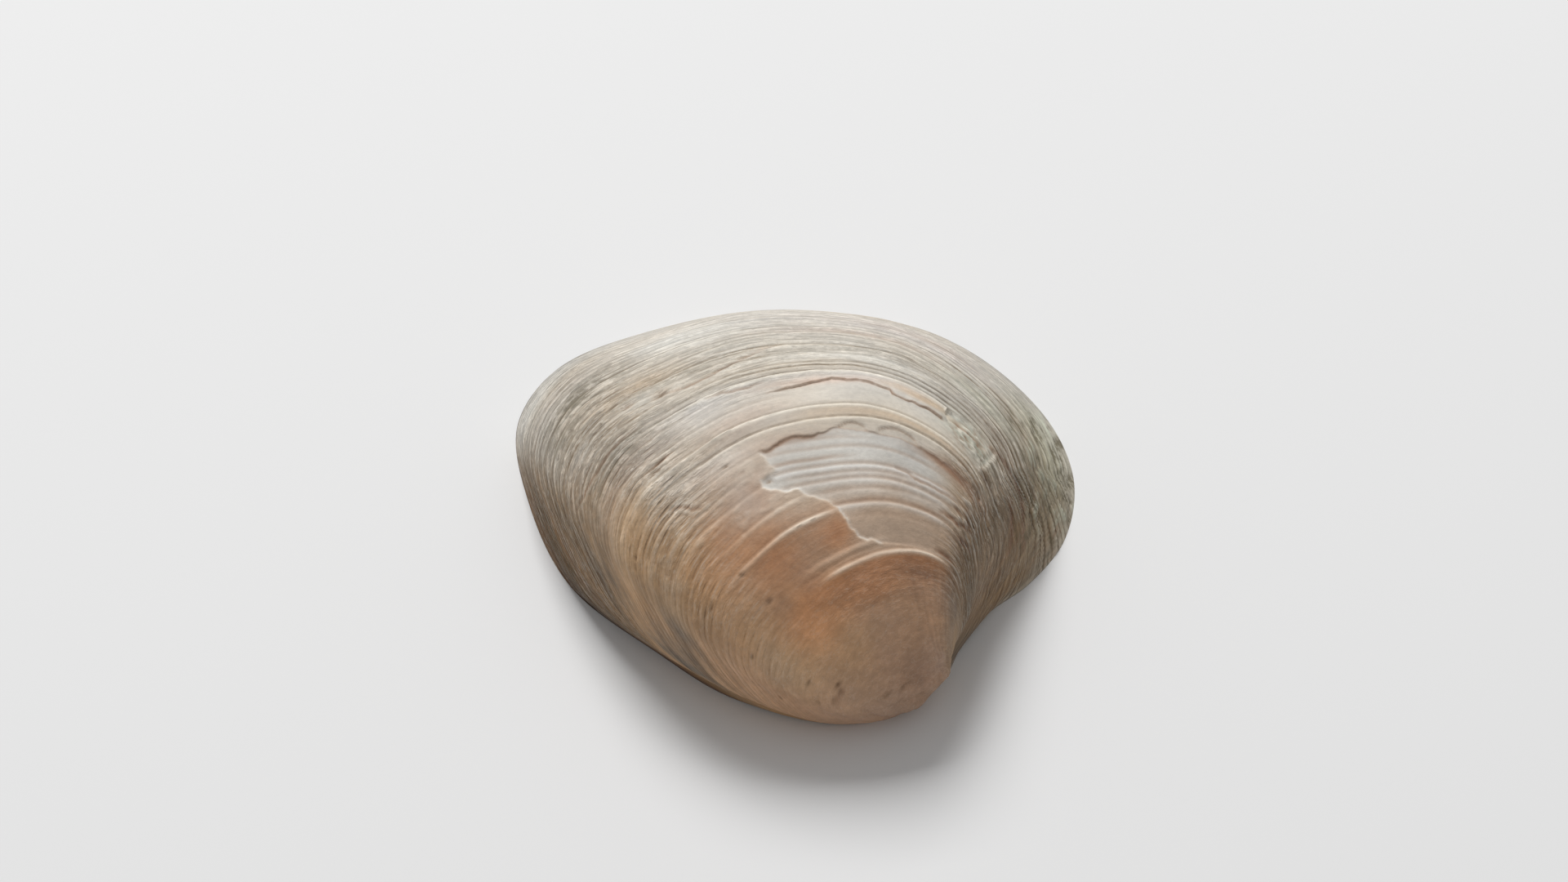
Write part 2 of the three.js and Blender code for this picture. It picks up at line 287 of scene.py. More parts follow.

# Stains: place, size, how far along the lines and across them, strength, colour. The greys and the near-black
# are painted shade near the outline and in the hollow in front of the beak
STAINS = [
    (0.37, 0.655, 0.06, 0.008, 0.8, "blush"), (0.27, 0.655, 0.035, 0.009, 0.9, "straw"),
    (0.3, 0.583, 0.12, 0.008, 0.45, "straw"), (0.222, 0.652, 0.03, 0.035, 0.8, "sage"),
    (0.385, 0.385, 0.035, 0.03, 0.9, "rust"), (0.262, 0.3, 0.028, 0.012, 0.8, "brown"),
    (0.188, 0.615, 0.01, 0.012, 0.6, "bark"), (0.465, 0.312, 0.05, 0.035, 1.0, "orange"),
    (0.45, 0.25, 0.06, 0.04, 0.7, "honey"), (0.4, 0.305, 0.06, 0.03, 0.5, "rust"),
    (0.3, 0.31, 0.06, 0.025, 0.5, "brown"), (0.47, 0.4, 0.05, 0.06, 0.85, "rust"),
    (0.51, 0.46, 0.05, 0.05, 0.7, "rust"), (0.46, 0.49, 0.04, 0.04, 0.7, "mauve"),
    (0.43, 0.55, 0.06, 0.012, 0.5, "mauve"), (0.55, 0.54, 0.03, 0.04, 0.5, "dun"),
    (0.49, 0.54, 0.05, 0.03, 0.6, "mauve"), (0.45, 0.6, 0.05, 0.03, 0.6, "mauve"),
    # At 0.235, 0.535 the brown is painted shade below the upper break's right end
    (0.205, 0.5, 0.03, 0.06, 0.6, "tan"), (0.235, 0.535, 0.04, 0.008, 0.6, "brown"),
    (0.15, 0.8, 0.03, 0.12, 0.4, "dun"), (0.17, 0.9, 0.03, 0.08, 0.6, "sage"),
    (0.24, 0.8, 0.04, 0.03, 0.5, "sage"), (0.035, 0.92, 0.015, 0.08, 0.4, "shade_grey"),
    (0.12, 0.89, 0.03, 0.08, 0.5, "dun"), (0.13, 0.62, 0.02, 0.05, 0.6, "dun"),
    (0.55, 0.74, 0.04, 0.05, 0.6, "dun"), (0.6, 0.56, 0.03, 0.05, 0.7, "ochre"),
    (0.63, 0.73, 0.03, 0.06, 0.5, "straw"), (0.31, 0.885, 0.05, 0.03, 0.5, "blush"),
    (0.345, 0.81, 0.06, 0.012, 0.5, "blush"), (0.34, 0.722, 0.08, 0.016, 0.9, "white"),
    (0.48, 0.86, 0.05, 0.05, 0.8, "white"), (0.6, 0.8, 0.02, 0.03, 0.5, "chalk"),
    (0.655, 0.84, 0.03, 0.12, 0.5, "tan"), (0.57, 0.92, 0.03, 0.04, 0.5, "dun"),
    (0.7, 0.85, 0.03, 0.03, 0.5, "rust"), (0.575, 0.3, 0.04, 0.04, 0.5, "straw"),
    (0.37, 0.12, 0.08, 0.05, 0.4, "brown"), (0.21, 0.92, 0.04, 0.07, 0.6, "sage"),
    (0.675, 0.7, 0.02, 0.05, 0.7, "shade_grey"), (0.655, 0.51, 0.025, 0.035, 0.7, "shade_grey"),
    (0.7, 0.54, 0.02, 0.05, 0.6, "shade_grey"), (0.22, 0.26, 0.05, 0.06, 0.3, "brown"),
    (0.175, 0.26, 0.03, 0.1, 0.5, "shade_grey"), (0.09, 0.45, 0.05, 0.2, 0.35, "shade_grey"),
    (0.025, 0.85, 0.03, 0.2, 0.7, "shade_grey"), (0.49, 0.3, 0.035, 0.03, 0.8, "orange"),
    (0.733, 0.57, 0.018, 0.05, 1.0, "shade_grey"), (0.4, 0.315, 0.05, 0.018, 0.45, "brown"),
    (0.505, 0.35, 0.02, 0.025, 0.45, "brown"), (0.54, 0.47, 0.02, 0.02, 0.3, "umber"),
    (0.721, 0.625, 0.012, 0.03, 0.7, "shade_grey"), (0.69, 0.81, 0.02, 0.035, 0.8, "ochre"),
    (0.632, 0.525, 0.015, 0.03, 0.4, "tan"), (0.165, 0.6, 0.014, 0.03, 0.5, "dun"),
    (0.682, 0.69, 0.01, 0.03, 0.6, "ochre"), (0.664, 0.78, 0.01, 0.05, 0.4, "ochre"),
    (0.604, 0.7, 0.022, 0.05, 0.6, "tan"), (0.643, 0.78, 0.02, 0.07, 0.6, "umber"),
    (0.628, 0.65, 0.02, 0.05, 0.5, "tan"), (0.6, 0.965, 0.04, 0.035, 0.9, "white"),
    (0.525, 0.86, 0.02, 0.03, 0.4, "dun"), (0.512, 0.735, 0.022, 0.018, 0.7, "white"),
    (0.475, 0.56, 0.03, 0.02, 0.6, "chalk"), (0.345, 0.96, 0.06, 0.035, 0.5, "stone"),
    (0.62, 0.49, 0.025, 0.03, 0.5, "straw"), (0.557, 0.51, 0.025, 0.045, 0.5, "ochre"),
    (0.525, 0.37, 0.03, 0.04, 0.3, "tan"), (0.685, 0.94, 0.035, 0.05, 0.9, "peat"),
    (0.449, 0.343, 0.02, 0.02, 0.5, "brown"), (0.15, 0.5, 0.03, 0.14, 0.45, "tan"),
    (0.527, 0.575, 0.022, 0.04, 0.6, "chalk"), (0.448, 0.492, 0.012, 0.02, 0.5, "fawn"),
    (0.585, 0.51, 0.025, 0.03, 0.5, "tan"), (0.588, 0.873, 0.02, 0.03, 0.35, "chalk"),
    (0.36, 0.285, 0.045, 0.018, 0.5, "rust"), (0.455, 0.325, 0.05, 0.015, 0.4, "rust"),
    (0.295, 0.27, 0.02, 0.02, 0.4, "brown"), (0.505, 0.77, 0.03, 0.02, 0.35, "tan"),
    (0.372, 0.745, 0.04, 0.025, 0.45, "white"), (0.293, 0.69, 0.03, 0.02, 0.35, "ash"),
    (0.43, 0.67, 0.03, 0.02, 0.45, "ash"), (0.423, 0.588, 0.03, 0.015, 0.5, "ash"),
    (0.552, 0.668, 0.02, 0.02, 0.45, "chalk"), (0.579, 0.731, 0.02, 0.03, 0.4, "chalk"),
    (0.512, 0.682, 0.02, 0.02, 0.4, "chalk"), (0.636, 0.712, 0.012, 0.03, 0.4, "ochre"),
    # At 0.188, 0.485 the bark is painted shadow of the flaky chips beside it
    (0.148, 0.8, 0.028, 0.09, 0.45, "peat"), (0.188, 0.485, 0.012, 0.02, 0.7, "bark"),
    (0.8, 0.985, 0.09, 0.03, 0.85, "deep_shade"), (0.7, 0.975, 0.05, 0.03, 0.7, "bark"),
]
# Grime held between the lines: place, size, reach along, reach across, strength
GRIME = [
    (0.558, 0.83, 0.035, 0.035, 1.0), (0.578, 0.8, 0.025, 0.03, 0.7), (0.545, 0.668, 0.045, 0.018, 0.9),
    (0.6, 0.665, 0.04, 0.025, 0.7), (0.49, 0.755, 0.03, 0.02, 0.7), (0.45, 0.79, 0.03, 0.014, 0.4),
    (0.17, 0.8, 0.035, 0.09, 0.8), (0.15, 0.88, 0.03, 0.05, 0.8), (0.17, 0.66, 0.03, 0.06, 0.4),
    (0.22, 0.84, 0.02, 0.03, 0.5), (0.63, 0.73, 0.03, 0.05, 0.3), (0.7, 0.9, 0.04, 0.06, 0.7),
    (0.65, 0.8, 0.02, 0.05, 0.4), (0.12, 0.55, 0.05, 0.15, 0.4), (0.42, 0.83, 0.03, 0.012, 0.3),
    (0.36, 0.74, 0.06, 0.012, 0.35), (0.53, 0.58, 0.04, 0.02, 0.25), (0.6, 0.57, 0.03, 0.05, 0.3),
]

# Numbers that repeat from run to run

def scatter(x, y, seed):
    value = np.sin(x * 127.1 + y * 311.7 + seed * 74.7) * 43758.5453
    return value - np.floor(value)


def noise(x, y, seed):
    """Smooth noise from -1 to 1."""
    x, y = np.broadcast_arrays(np.asarray(x, float), np.asarray(y, float))
    left, low = np.floor(x), np.floor(y)
    u, v = x - left, y - low
    u, v = u * u * (3 - 2 * u), v * v * (3 - 2 * v)
    lower = scatter(left, low, seed) * (1 - u) + scatter(left + 1, low, seed) * u
    upper = scatter(left, low + 1, seed) * (1 - u) + scatter(left + 1, low + 1, seed) * u
    return (lower * (1 - v) + upper * v) * 2 - 1


def layered(x, y, seed, layers=4):
    total, weight = 0, 0
    for layer in range(layers):
        total = total + noise(x * 2 ** layer, y * 2 ** layer, seed + layer) / 2 ** layer
        weight += 1 / 2 ** layer
    return total / weight


def smooth(low, high, value):
    share = np.clip((value - low) / (high - low), 0, 1)
    return share * share * (3 - 2 * share)


def window(value, low, high, soft):
    return smooth(low - soft, low + soft, value) * (1 - smooth(high - soft, high + soft, value))


def bell(value, middle, reach):
    return np.exp(-((value - middle) / reach) ** 2)


# The grown shell

def closed_curve(points):
    """A centripetal curve through the points: returns a function from places 0 to 1 along it to x and y."""
    points = np.array(points, float)
    count = len(points)
    steps = np.linspace(0, count, 4000, endpoint=False)
    index = steps.astype(int)
    share = (steps - index)[:, None]
    p0, p1, p2, p3 = (points[(index + k) % count] for k in (-1, 0, 1, 2))
    pairs = ((p0, p1), (p1, p2), (p2, p3))
    d0, d1, d2 = (np.sqrt(np.linalg.norm(b - a, axis=1))[:, None] for a, b in pairs)
    t1 = ((p1 - p0) / d0 - (p2 - p0) / (d0 + d1) + (p2 - p1) / d1) * d1
    t2 = ((p2 - p1) / d1 - (p3 - p1) / (d1 + d2) + (p3 - p2) / d2) * d1
    square, cube = 3 * (p2 - p1) - 2 * t1 - t2, 2 * (p1 - p2) + t1 + t2
    curve = p1 + t1 * share + square * share ** 2 + cube * share ** 3
    curve = np.vstack([curve, curve[:1]])
    along = np.concatenate([[0], np.cumsum(np.linalg.norm(np.diff(curve, axis=0), axis=1))])
    along /= along[-1]

    def at(place):
        place = np.mod(place, 1)
        return np.interp(place, along, curve[:, 0]), np.interp(place, along, curve[:, 1])
    return at


rim_at = closed_curve(RIM_OUTLINE)


def grown(place, size):
    """Points of the bare outer surface at places along the rim, when the rim had these sizes."""
    x, y = rim_at(place)
    x = x * (1 + YOUNG_STRETCH * (1 - size))
    flat = np.stack([x, y, np.full_like(x, -AXIS_HEIGHT)], axis=-1)
    growths = -np.log(size)
    turn = (COIL_RATE * growths - COIL_SLOWING * growths ** 2)[..., None]
    along = (flat @ COIL_AXIS)[..., None] * COIL_AXIS
    swung = along + (flat - along) * np.cos(turn) + np.cross(COIL_AXIS, flat) * np.sin(turn)
    swung = swung * np.asarray(size)[..., None]
    swung[..., 2] += AXIS_HEIGHT
    return swung


def spread(closeness, count, low, high, closed):
    """Values from low to high, closer together where closeness says so."""
    fine = np.linspace(low, high, 2001)
    pace = np.interp(fine, *np.array(closeness, float).T)
    travelled = np.concatenate([[0], np.cumsum((pace[1:] + pace[:-1]) / 2)])
    wanted = np.linspace(0, travelled[-1], count, endpoint=not closed)
    return np.interp(wanted, travelled, fine)


def unit(vectors):
    return vectors / np.maximum(np.linalg.norm(vectors, axis=-1, keepdims=True), 1e-9)


def roughened(line, amount, seed):
    """The line with more points, each off its place by a little."""
    line = np.array(line, float)
    scale = np.array([MIDDLE_LENGTH, GROWTH_LENGTH])
    pieces = []
    for start, end in zip(line[:-1], line[1:]):
        length = math.hypot(*((end - start) * scale))
        shares = np.linspace(0, 1, max(2, int(length / LINE_STEP)), endpoint=False)[:, None]
        pieces.append(start * (1 - shares) + end * shares)
    line = np.vstack(pieces + [line[-1:]])
    steps = np.arange(len(line)) * 0.3
    off = np.stack([layered(steps, 0, seed, 3), layered(steps, 7, seed, 3)], axis=-1)
    return line + amount * off / scale


def inside(outline, place, size):
    hits = np.zeros(place.shape, bool)
    for (x0, y0), (x1, y1) in zip(outline, np.roll(outline, -1, axis=0)):
        if y0 == y1:
            continue
        crosses = (size > min(y0, y1)) & (size <= max(y0, y1))
        hits ^= crosses & (place < x0 + (size - y0) * (x1 - x0) / (y1 - y0))
    return hits


def distance_to(line, points, place, size, reach=3.0, margin=0.04):
    """Millimetres from each point to a line on the shell, up to reach."""
    dense = roughened(line, 0, 0)
    on_shell = grown(dense[:, 0], dense[:, 1])
    tree = KDTree(len(on_shell))
    for index, spot in enumerate(on_shell):
        tree.insert(spot, index)
    tree.balance()
    distance = np.full(place.shape, reach)
    near = (place > line[:, 0].min() - margin) & (place < line[:, 0].max() + margin)
    near &= (size > line[:, 1].min() - margin) & (size < line[:, 1].max() + margin)
    for index in np.argwhere(near):
        index = tuple(index)
        distance[index] = min(reach, tree.find(points[index])[2])
    return distance


def layer_number(place, size, count, seed):
    """Which layer of a set a point lies in, and as the fraction how far across it."""
    warp = 0.9 * layered(place * 5, size * 6, seed, 2)
    return size * count + warp + 0.6 * noise(size * count * 0.21, place * 3, seed + 3)


def layer_profile(layer, place, seed):
    """Each layer rises slowly and drops at its edge. 0 to 1."""
    number = np.floor(layer)
    share = layer - number
    profile = np.where(share < 0.78, (share / 0.78) ** 1.6, (1 - share) / 0.22)
    bold = 0.4 + 0.6 * scatter(number, 0 * number, seed + 6)
    return profile * (0.3 + 0.7 * (0.5 + 0.5 * noise(place * 11, number * 1.37, seed + 5)) * bold)


def age_of(place, size):
    """The size at which the growth line through each point formed. Close to the beak the lines turn away
    from the rim's earlier outlines and run out to the edge."""
    age = size
    for _ in range(12):
        start = 0.10 + 0.08 * np.clip((age - 0.3) / 0.38, 0, 1)
        share = np.clip((start - place) / 0.1, 0, 1.2)
        age = (age + size / (1 + 0.4 * share ** 1.3)) / 2
    return age


def evened(points, share, rounds):
    """The grid with each point drawn towards its neighbours' middle again and again, by its share."""
    points = points.copy()
    columns = slice(0, 1 + np.flatnonzero(share.any(axis=0)).max() + 1)
    part = points[:, columns]
    pull = share[1:-1, columns][:, 1:-1, None]
    for _ in range(rounds):
        beside = part[1:-1, :-2] + part[1:-1, 2:]
        before = part[:-2, 1:-1] + part[2:, 1:-1]
        part[1:-1, 1:-1] += pull * (0.1 * beside + 0.4 * before - part[1:-1, 1:-1])
    return points


def outward_of(points):
    aside = np.roll(points, -1, axis=1) - np.roll(points, 1, axis=1)
    return unit(np.cross(np.gradient(points, axis=0), aside))


def towards(tint, goal, share):
    """The colour moved by a share of the way to another, which is a name or values."""
    goal = np.array(SHELL_COLOURS[goal], float) if isinstance(goal, str) else goal
    return tint + (goal - tint) * share[..., None]


class Shell:
    """The outer surface as a grid of rows (sizes) and columns (places), with what its material reads."""

    def __init__(self):
        self.upper_break = roughened(UPPER_BREAK, 0.5, 3)
        self.outer_break = roughened(OUTER_BREAK, 0.4, 8)
        self.lay_grid()
        self.points = grown(self.place, self.size)
        filled = self.fill_neck()
        self.outward = outward_of(filled)
        # Millimetres of shell for each unit of size
        self.pace = np.linalg.norm(np.gradient(filled, axis=0), axis=-1) / np.gradient(self.size, axis=0)
        self.relief = np.zeros(self.size.shape)
        self.pale = np.zeros(self.size.shape)
        self.dark = np.zeros(self.size.shape)
        self.age = age_of(self.place, self.size)
        self.mark_regions()
        self.add_flakes()
        self.add_ledges()
        self.add_lines()
        self.add_blots()
        self.add_crust()
        self.add_waves()
        self.add_rough_patch()
        self.add_flecks()
        self.add_pits()
        self.add_cracks()
        self.relief *= smooth(1, 0.985, self.size) * window(self.place, 0.03, 0.88, 0.03)
        self.points = filled + self.outward * self.relief[..., None]
        self.points[..., 2] = np.maximum(self.points[..., 2], 0)
        self.points[-1, :, 2] = 0
        self.add_colour()
        self.add_streaks()

    def lay_grid(self):
        """Rows follow growth, but bend to run exactly along the two long breaks."""
        places = spread(COLUMN_CLOSENESS, COLUMNS, 0, 1, closed=True)
        sizes = spread(ROW_CLOSENESS, ROWS - 4, TIP_SIZE, 1, closed=False)
        hair = 0.0011
        doubled = [UPPER_ROW - hair, UPPER_ROW + hair, OUTER_ROW - hair, OUTER_ROW + hair]
        sizes = np.sort(np.concatenate([sizes, doubled]))
        along_upper = np.interp(places, *self.upper_break.T, left=UPPER_ROW + 0.033, right=UPPER_ROW)
        along_outer = np.interp(places, *self.outer_break.T)
        even = [TIP_SIZE, 0.36, UPPER_ROW, 0.604, OUTER_ROW, 0.7, 1]
        columns = []
        for upper, outer in zip(along_upper, along_outer):
            columns.append(np.interp(sizes, even, [TIP_SIZE, 0.36, upper, 0.604, outer, 0.7, 1]))
        self.size = np.array(columns).T
        self.place = np.broadcast_to(places, self.size.shape).copy()

    def fill_neck(self):
        """The bare surface with the narrow hollow between the swollen young shell and the front of the
        rim filled out."""
        share = window(self.place, 0.03, 0.18, 0.03) * window(self.size, 0.15, 0.92, 0.06)
        outward = outward_of(self.points)
        lift = np.sum((evened(self.points, share, NECK_ROUNDS) - self.points) * outward, axis=-1)
        lift = NECK_FILL * np.maximum(lift, 0)
        lift += NECK_SWELL * bell(self.place, 0.085, 0.04) * bell(self.size, 0.42, 0.16)
        return evened(self.points + outward * lift[..., None], share, NECK_ROUNDS // 8)

    def grain(self, along, across, seed, layers):
        """Noise with this many cells to the length of the rim and to the whole growth."""
        return layered(self.place * along, self.size * across, seed, layers)

    def away_from(self, line):
        return distance_to(line, self.points, self.place, self.size)

    def mark_regions(self):
        """Parts of the shell that differ, as shares from 0 to 1."""
        place, size = self.place, self.size
        # Away from the beak and the hinge, where rows crowd
        self.front = window(place, 0.06, 0.78, 0.03)
        self.rear = smooth(0.5, 0.56, place)
        # Low at the right end as the camera sees it, and the worn and blotted stretch above that
        self.low_right = smooth(0.155, 0.125, place) * smooth(0.4, 0.5, size)
        self.mottled = window(place, 0.11, 0.23, 0.02) * smooth(0.72, 0.84, size - 0.6 * (place - 0.15))

    def flake(self, lines, depths, sizes, fade, shallow=1.0, soft=0.16):
        """Sinks the shell inside a broken outline, between the depths and sizes at its foot and its break.
        Returns how far each point is inside it, 0 to 1."""
        place = self.place
        outline = np.vstack(lines)
        edge = self.away_from(outline)
        signed = np.where(inside(outline, place, self.size), edge, -edge)
        share = smooth(-1, 1, signed / soft) * fade
        deepening = np.clip((self.size - sizes[0]) / (sizes[1] - sizes[0]), 0, 1)
        deep = np.maximum(smooth(0.36, 0.39, place), window(place, 0.24, 0.28, 0.02))
        at_break = depths[1] * (0.55 + 0.45 * deep)
        self.relief -= share * shallow * (depths[0] + (at_break - depths[0]) * deepening)
        return share

    def add_flakes(self):
        place, size = self.place, self.size
        upper_chip = roughened(UPPER_CHIP, 0.4, 5)
        outer_chip = roughened(OUTER_CHIP, 0.5, 9)
        shallow = 1 - 0.5 * smooth(0.38, 0.43, place) * smooth(0.54, 0.52, size)
        soft = 0.22 + 0.45 * smooth(0.3, 0.26, place) + 0.16 * smooth(0.37, 0.4, place)
        upper_outline = [self.upper_break, upper_chip, np.array(UPPER_FOOT)[::-1]]
        fade = smooth(0.165, 0.235, place)
        self.upper = self.flake(upper_outline, (0.24, 0.32), (0.345, 0.545), fade, shallow, soft)
        outer_outline = [self.outer_break[::-1], outer_chip, np.array(OUTER_FOOT)]
        self.outer = self.flake(outer_outline, (0.06, 0.4), (0.605, 0.65), smooth(0.428, 0.385, place))
        self.add_scabs()
        self.shade_breaks()
        for chip, flake in ((upper_chip, self.upper), (outer_chip, self.outer)):
            line = self.away_from(chip)
            broken = 0.75 + 0.6 * self.grain(90, 60, 215, 2)
            self.pale += 1.1 * broken * bell(line, 0, 0.3)
            self.relief += 0.1 * bell(line, 0, 0.35) * (1 - flake)

    def add_scabs(self):
        """Thin round scabs gone from the shell just above the upper break."""
        place, size = self.place, self.size
        self.scabs = np.zeros(size.shape)
        rims = np.zeros(size.shape)
        for start, end, reach in SCABS:
            across = np.clip((place - start) / (end - start), 0, 1)
            top = UPPER_ROW + (reach - UPPER_ROW) * np.sqrt(np.maximum(0, np.sin(across * math.pi)))
            scab = window(place, start, end, 0.002) * smooth(0.538, 0.543, size)
            scab = scab * smooth(top + 0.0015, top - 0.0005, size)
            self.scabs = np.maximum(self.scabs, scab * (1 - self.upper))
            rims = np.maximum(rims, scab * bell(size * GROWTH_LENGTH, top * GROWTH_LENGTH, 0.35))
        self.relief -= 0.3 * self.scabs
        self.dark += 0.4 * rims

    def shade_breaks(self):
        """Painted shade: the dark lines in the undercuts of the two breaks, and the shade beside the upper
        one's right end.
        """
        place = self.place
        upper, outer = self.away_from(self.upper_break), self.away_from(self.outer_break)
        weight = 0.45 + 0.55 * np.maximum(smooth(0.365, 0.39, place), window(place, 0.245, 0.275, 0.015))
        weight = weight * smooth(0.446, 0.43, place)
        below = 0.35 + 0.65 * self.upper
        self.dark += 0.9 * weight * bell(upper, 0, 0.3 + 0.15 * smooth(0.37, 0.4, place)) * below
        right_shade = smooth(0.27, 0.22, place) * smooth(0.135, 0.165, place)
        self.dark += 0.95 * right_shade * bell(upper, 0, 1.7) * below
        self.dark += 0.95 * bell(outer, 0, 0.17) * smooth(0.25, 0.26, place) * smooth(0.425, 0.4, place)

    def add_ledges(self):
        place = self.place
        covered = 1 - np.maximum(self.upper, self.outer)
        centres, lines = [], []
        for number, (at, *shape) in enumerate(LEDGES):
            centre = at + 0.0025 * self.grain(11, 0, 40 + number, 3)
            strength = self.add_ledge(centre, shape, covered if at > 0.36 else 1.0, 0.5, number)
            centres.append(centre[0])
            lines.append(shape[-1] * strength)
        self.trace_ledges(np.array(centres), np.array(lines))
        bend = np.minimum(0.011 * ((place - 0.275) / 0.12) ** 2, 0.02)
        for number, (at, *shape) in enumerate(FLOOR_LEDGES):
            centre = at + bend + 0.002 * self.grain(11, 0, 30 + number, 3)
            strength = self.add_ledge(centre, shape, self.upper, 0.6, number + 20)
            # Painted shade in the groove at the foot of each floor ledge
            offset = (self.size - centre) * self.pace - shape[5] - 0.15
            self.dark += 0.6 * shape[-1] * strength * bell(offset, 0, 0.5)

    def trace_ledges(self, centres, lines):
        """For thin lines in the material: the ledges counted along the growth, a half at each ledge's edge,
        the millimetres from one count to the next, and how dark the line is. The line is painted shade in the
        ledge's groove."""
        counts = np.arange(len(centres)) + 0.5
        count = np.zeros(self.size.shape)
        darkness = np.zeros(self.size.shape)
        for column in range(self.size.shape[1]):
            sizes = self.age[:, column]
            count[:, column] = np.interp(sizes, centres[:, column], counts)
            pairs = zip(centres[:, column], lines[:, :, column])
            at_ledges = [np.interp(centre, sizes, line) for centre, line in pairs]
            darkness[:, column] = np.interp(count[:, column], counts, at_ledges)
        spacing = np.gradient(self.size, axis=0) * self.pace / np.maximum(np.gradient(count, axis=0), 1e-3)
        self.ledges = np.stack([count, np.minimum(spacing, 50), darkness], axis=-1)

    def add_ledge(self, centre, shape, share, pale_width, number):
        """A layer that rises slowly towards its edge and drops to a groove."""
        rise, groove, start, end, ramp, drop, paleness, _ = shape
        offset = (self.age - centre) * self.pace
        falling = rise - (rise + groove) * smooth(-0.3, drop, offset)
        recovering = -groove * np.exp(-(offset - drop) / 0.6)
        rising = rise * np.exp((offset + 0.3) / ramp)
        profile = np.where(offset < -0.3, rising, np.where(offset < drop, falling, recovering))
        vary = np.clip(0.85 + 0.35 * layered(self.place * 17, number * 3.7, 60, 3), 0.2, 1.3)
        strength = window(self.place, start, end, 0.03) * vary * share
        self.relief += profile * strength
        # The pale crest is partly a painted highlight
        behind = 1 - 0.55 * smooth(0.42, 0.5, self.place)
        self.pale += paleness * behind * strength * bell(offset, -0.2, pale_width)
        return strength

    def crowding(self):
        """How strongly the fine growth layers show."""
        place, size = self.place, self.size
        shifted = place - 0.05 * smooth(0.56, 0.46, size)
        ends = np.maximum(smooth(0.43, 0.56, shifted), smooth(0.28, 0.18, place))
        free_edge = smooth(0.62 - 0.06 * smooth(0.36, 0.42, place), 0.74, size)
        crowded = 0.1 + 0.9 * np.maximum(ends, 0.75 * free_edge)
        crowded = crowded * (1 - 0.5 * smooth(0.56, 0.62, place) * smooth(0.76, 0.66, size))
        calm = 1 - 0.85 * np.maximum(0.9 * self.upper, np.maximum(0.7 * self.outer, self.scabs))
        worn = (1 - 0.55 * self.mottled) * (1 - 0.4 * self.low_right)
        return crowded * smooth(0.2, 0.42, self.age) * calm * self.front * worn

    def add_lines(self):
        """The many growth layers, crowded towards both ends and the free edge."""
        place, size, rear = self.place, self.size, self.rear
        strength = self.crowded = self.crowding()
        right = 0.8 * smooth(0.66, 0.72, size) * smooth(0.52, 0.44, place)
        right = np.maximum(smooth(0.33, 0.22, place), right)
        sets = [layer_number(place, self.age, *numbers) for numbers in LAYER_SETS.values()]
        self.layers = np.stack(sets, axis=-1)
        lined = strength / np.maximum(self.front, 0.01) * window(place, 0.0, 0.86, 0.03)
        weights = [strength * (1 - 0.25 * right), 0.6 * strength * (1 - right), 1.5 * lined * right]
        self.weights = np.stack(weights, axis=-1)
        plain = 0.8 * self.low_right + 0.5 * smooth(0.53, 0.58, place) * smooth(0.74, 0.64, size)
        self.crested = np.clip(1 - plain, 0, 1)
        fine, wide, bold = (layer_profile(self.layers[..., k], place, 88 + k) - 0.4 for k in range(3))
        patchy = 0.6 + 0.6 * (1 - 0.6 * rear) * self.grain(34, 34, 88, 2)
        lower = 1 - 0.5 * rear * smooth(0.78, 0.68, size)
        lower = lower * smooth(0.09, 0.15, place) * (1 - 0.15 * smooth(0.43, 0.5, place))
        self.relief += 0.26 * lower * patchy * weights[0] * fine
        self.relief += lower * (0.24 * weights[1] * wide + 0.42 * strength * right * bold)
        together = 0.6 * fine + 0.2 * wide * (1 - right) + 0.4 * bold * right
        self.lines = np.clip(0.5 + strength * together, 0, 1)
        young = smooth(0.34, 0.3, size) * smooth(0.05, 0.1, size) * window(place, 0.1, 0.74, 0.05)
        self.relief += young * (0.2 * self.grain(20, 34, 99, 3) + 0.07 * wide)

    def add_blots(self):
        """The right end's raised blots and, lower down, its dark dashes. The blots' noise is laid over the
        points themselves, because places and sizes run together there."""
        level, upright = self.points[..., 1], self.points[..., 2] - 0.6 * self.points[..., 0]
        blots = layered(level / 2.6, upright / 1.7, 201, 3) + 0.5 * layered(level / 8, upright / 5, 205, 2)
        self.blots = blots * self.mottled
        self.relief += 0.4 * self.blots
        dashes = np.clip(self.grain(75, 150, 207, 2) * 3 - 0.9, 0, 1)
        self.dark += 0.55 * dashes * self.low_right

    def add_crust(self):
        """Small pale crumbs on the left of the flakes."""
        place, size = self.place, self.size
        crust = smooth(0.15, 0.4, self.grain(62, 62, 93, 3)) * window(place, 0.43, 0.62, 0.03)
        crust = crust * window(size, 0.44, 0.76, 0.04) * (1 - self.upper)
        self.relief += 0.14 * crust
        self.pale += 0.3 * crust * (1 - 0.5 * self.rear)

    def add_waves(self):
        """Broad unevenness, more of it low on the young shell, and its faint streaks away from the beak."""
        place, size = self.place, self.size
        waves = self.grain(6, 7, 90, 3) + 0.3 * self.grain(44, 16, 97, 2)
        self.relief += 0.4 * waves * self.front * smooth(0.1, 0.3, size) * (1 - 0.6 * self.upper)
        low = window(size, 0.05, 0.17, 0.03) * window(place, 0.18, 0.66, 0.05)
        self.relief += 1.3 * low * self.grain(12, 18, 213, 3)
        self.fan = window(place, 0.12, 0.29, 0.03) * smooth(0.33, 0.29, size) * self.grain(110, 9, 211, 3)
        self.relief += 0.04 * self.fan

    def add_rough_patch(self):
        """The right end of the outer flake, where the layers came off in crumbs."""
        patch = bell(self.place, 0.218, 0.027) * bell(self.size, 0.652, 0.035) * self.outer
        crumbs = self.grain(190, 150, 171, 3)
        self.relief += 0.55 * crumbs * patch
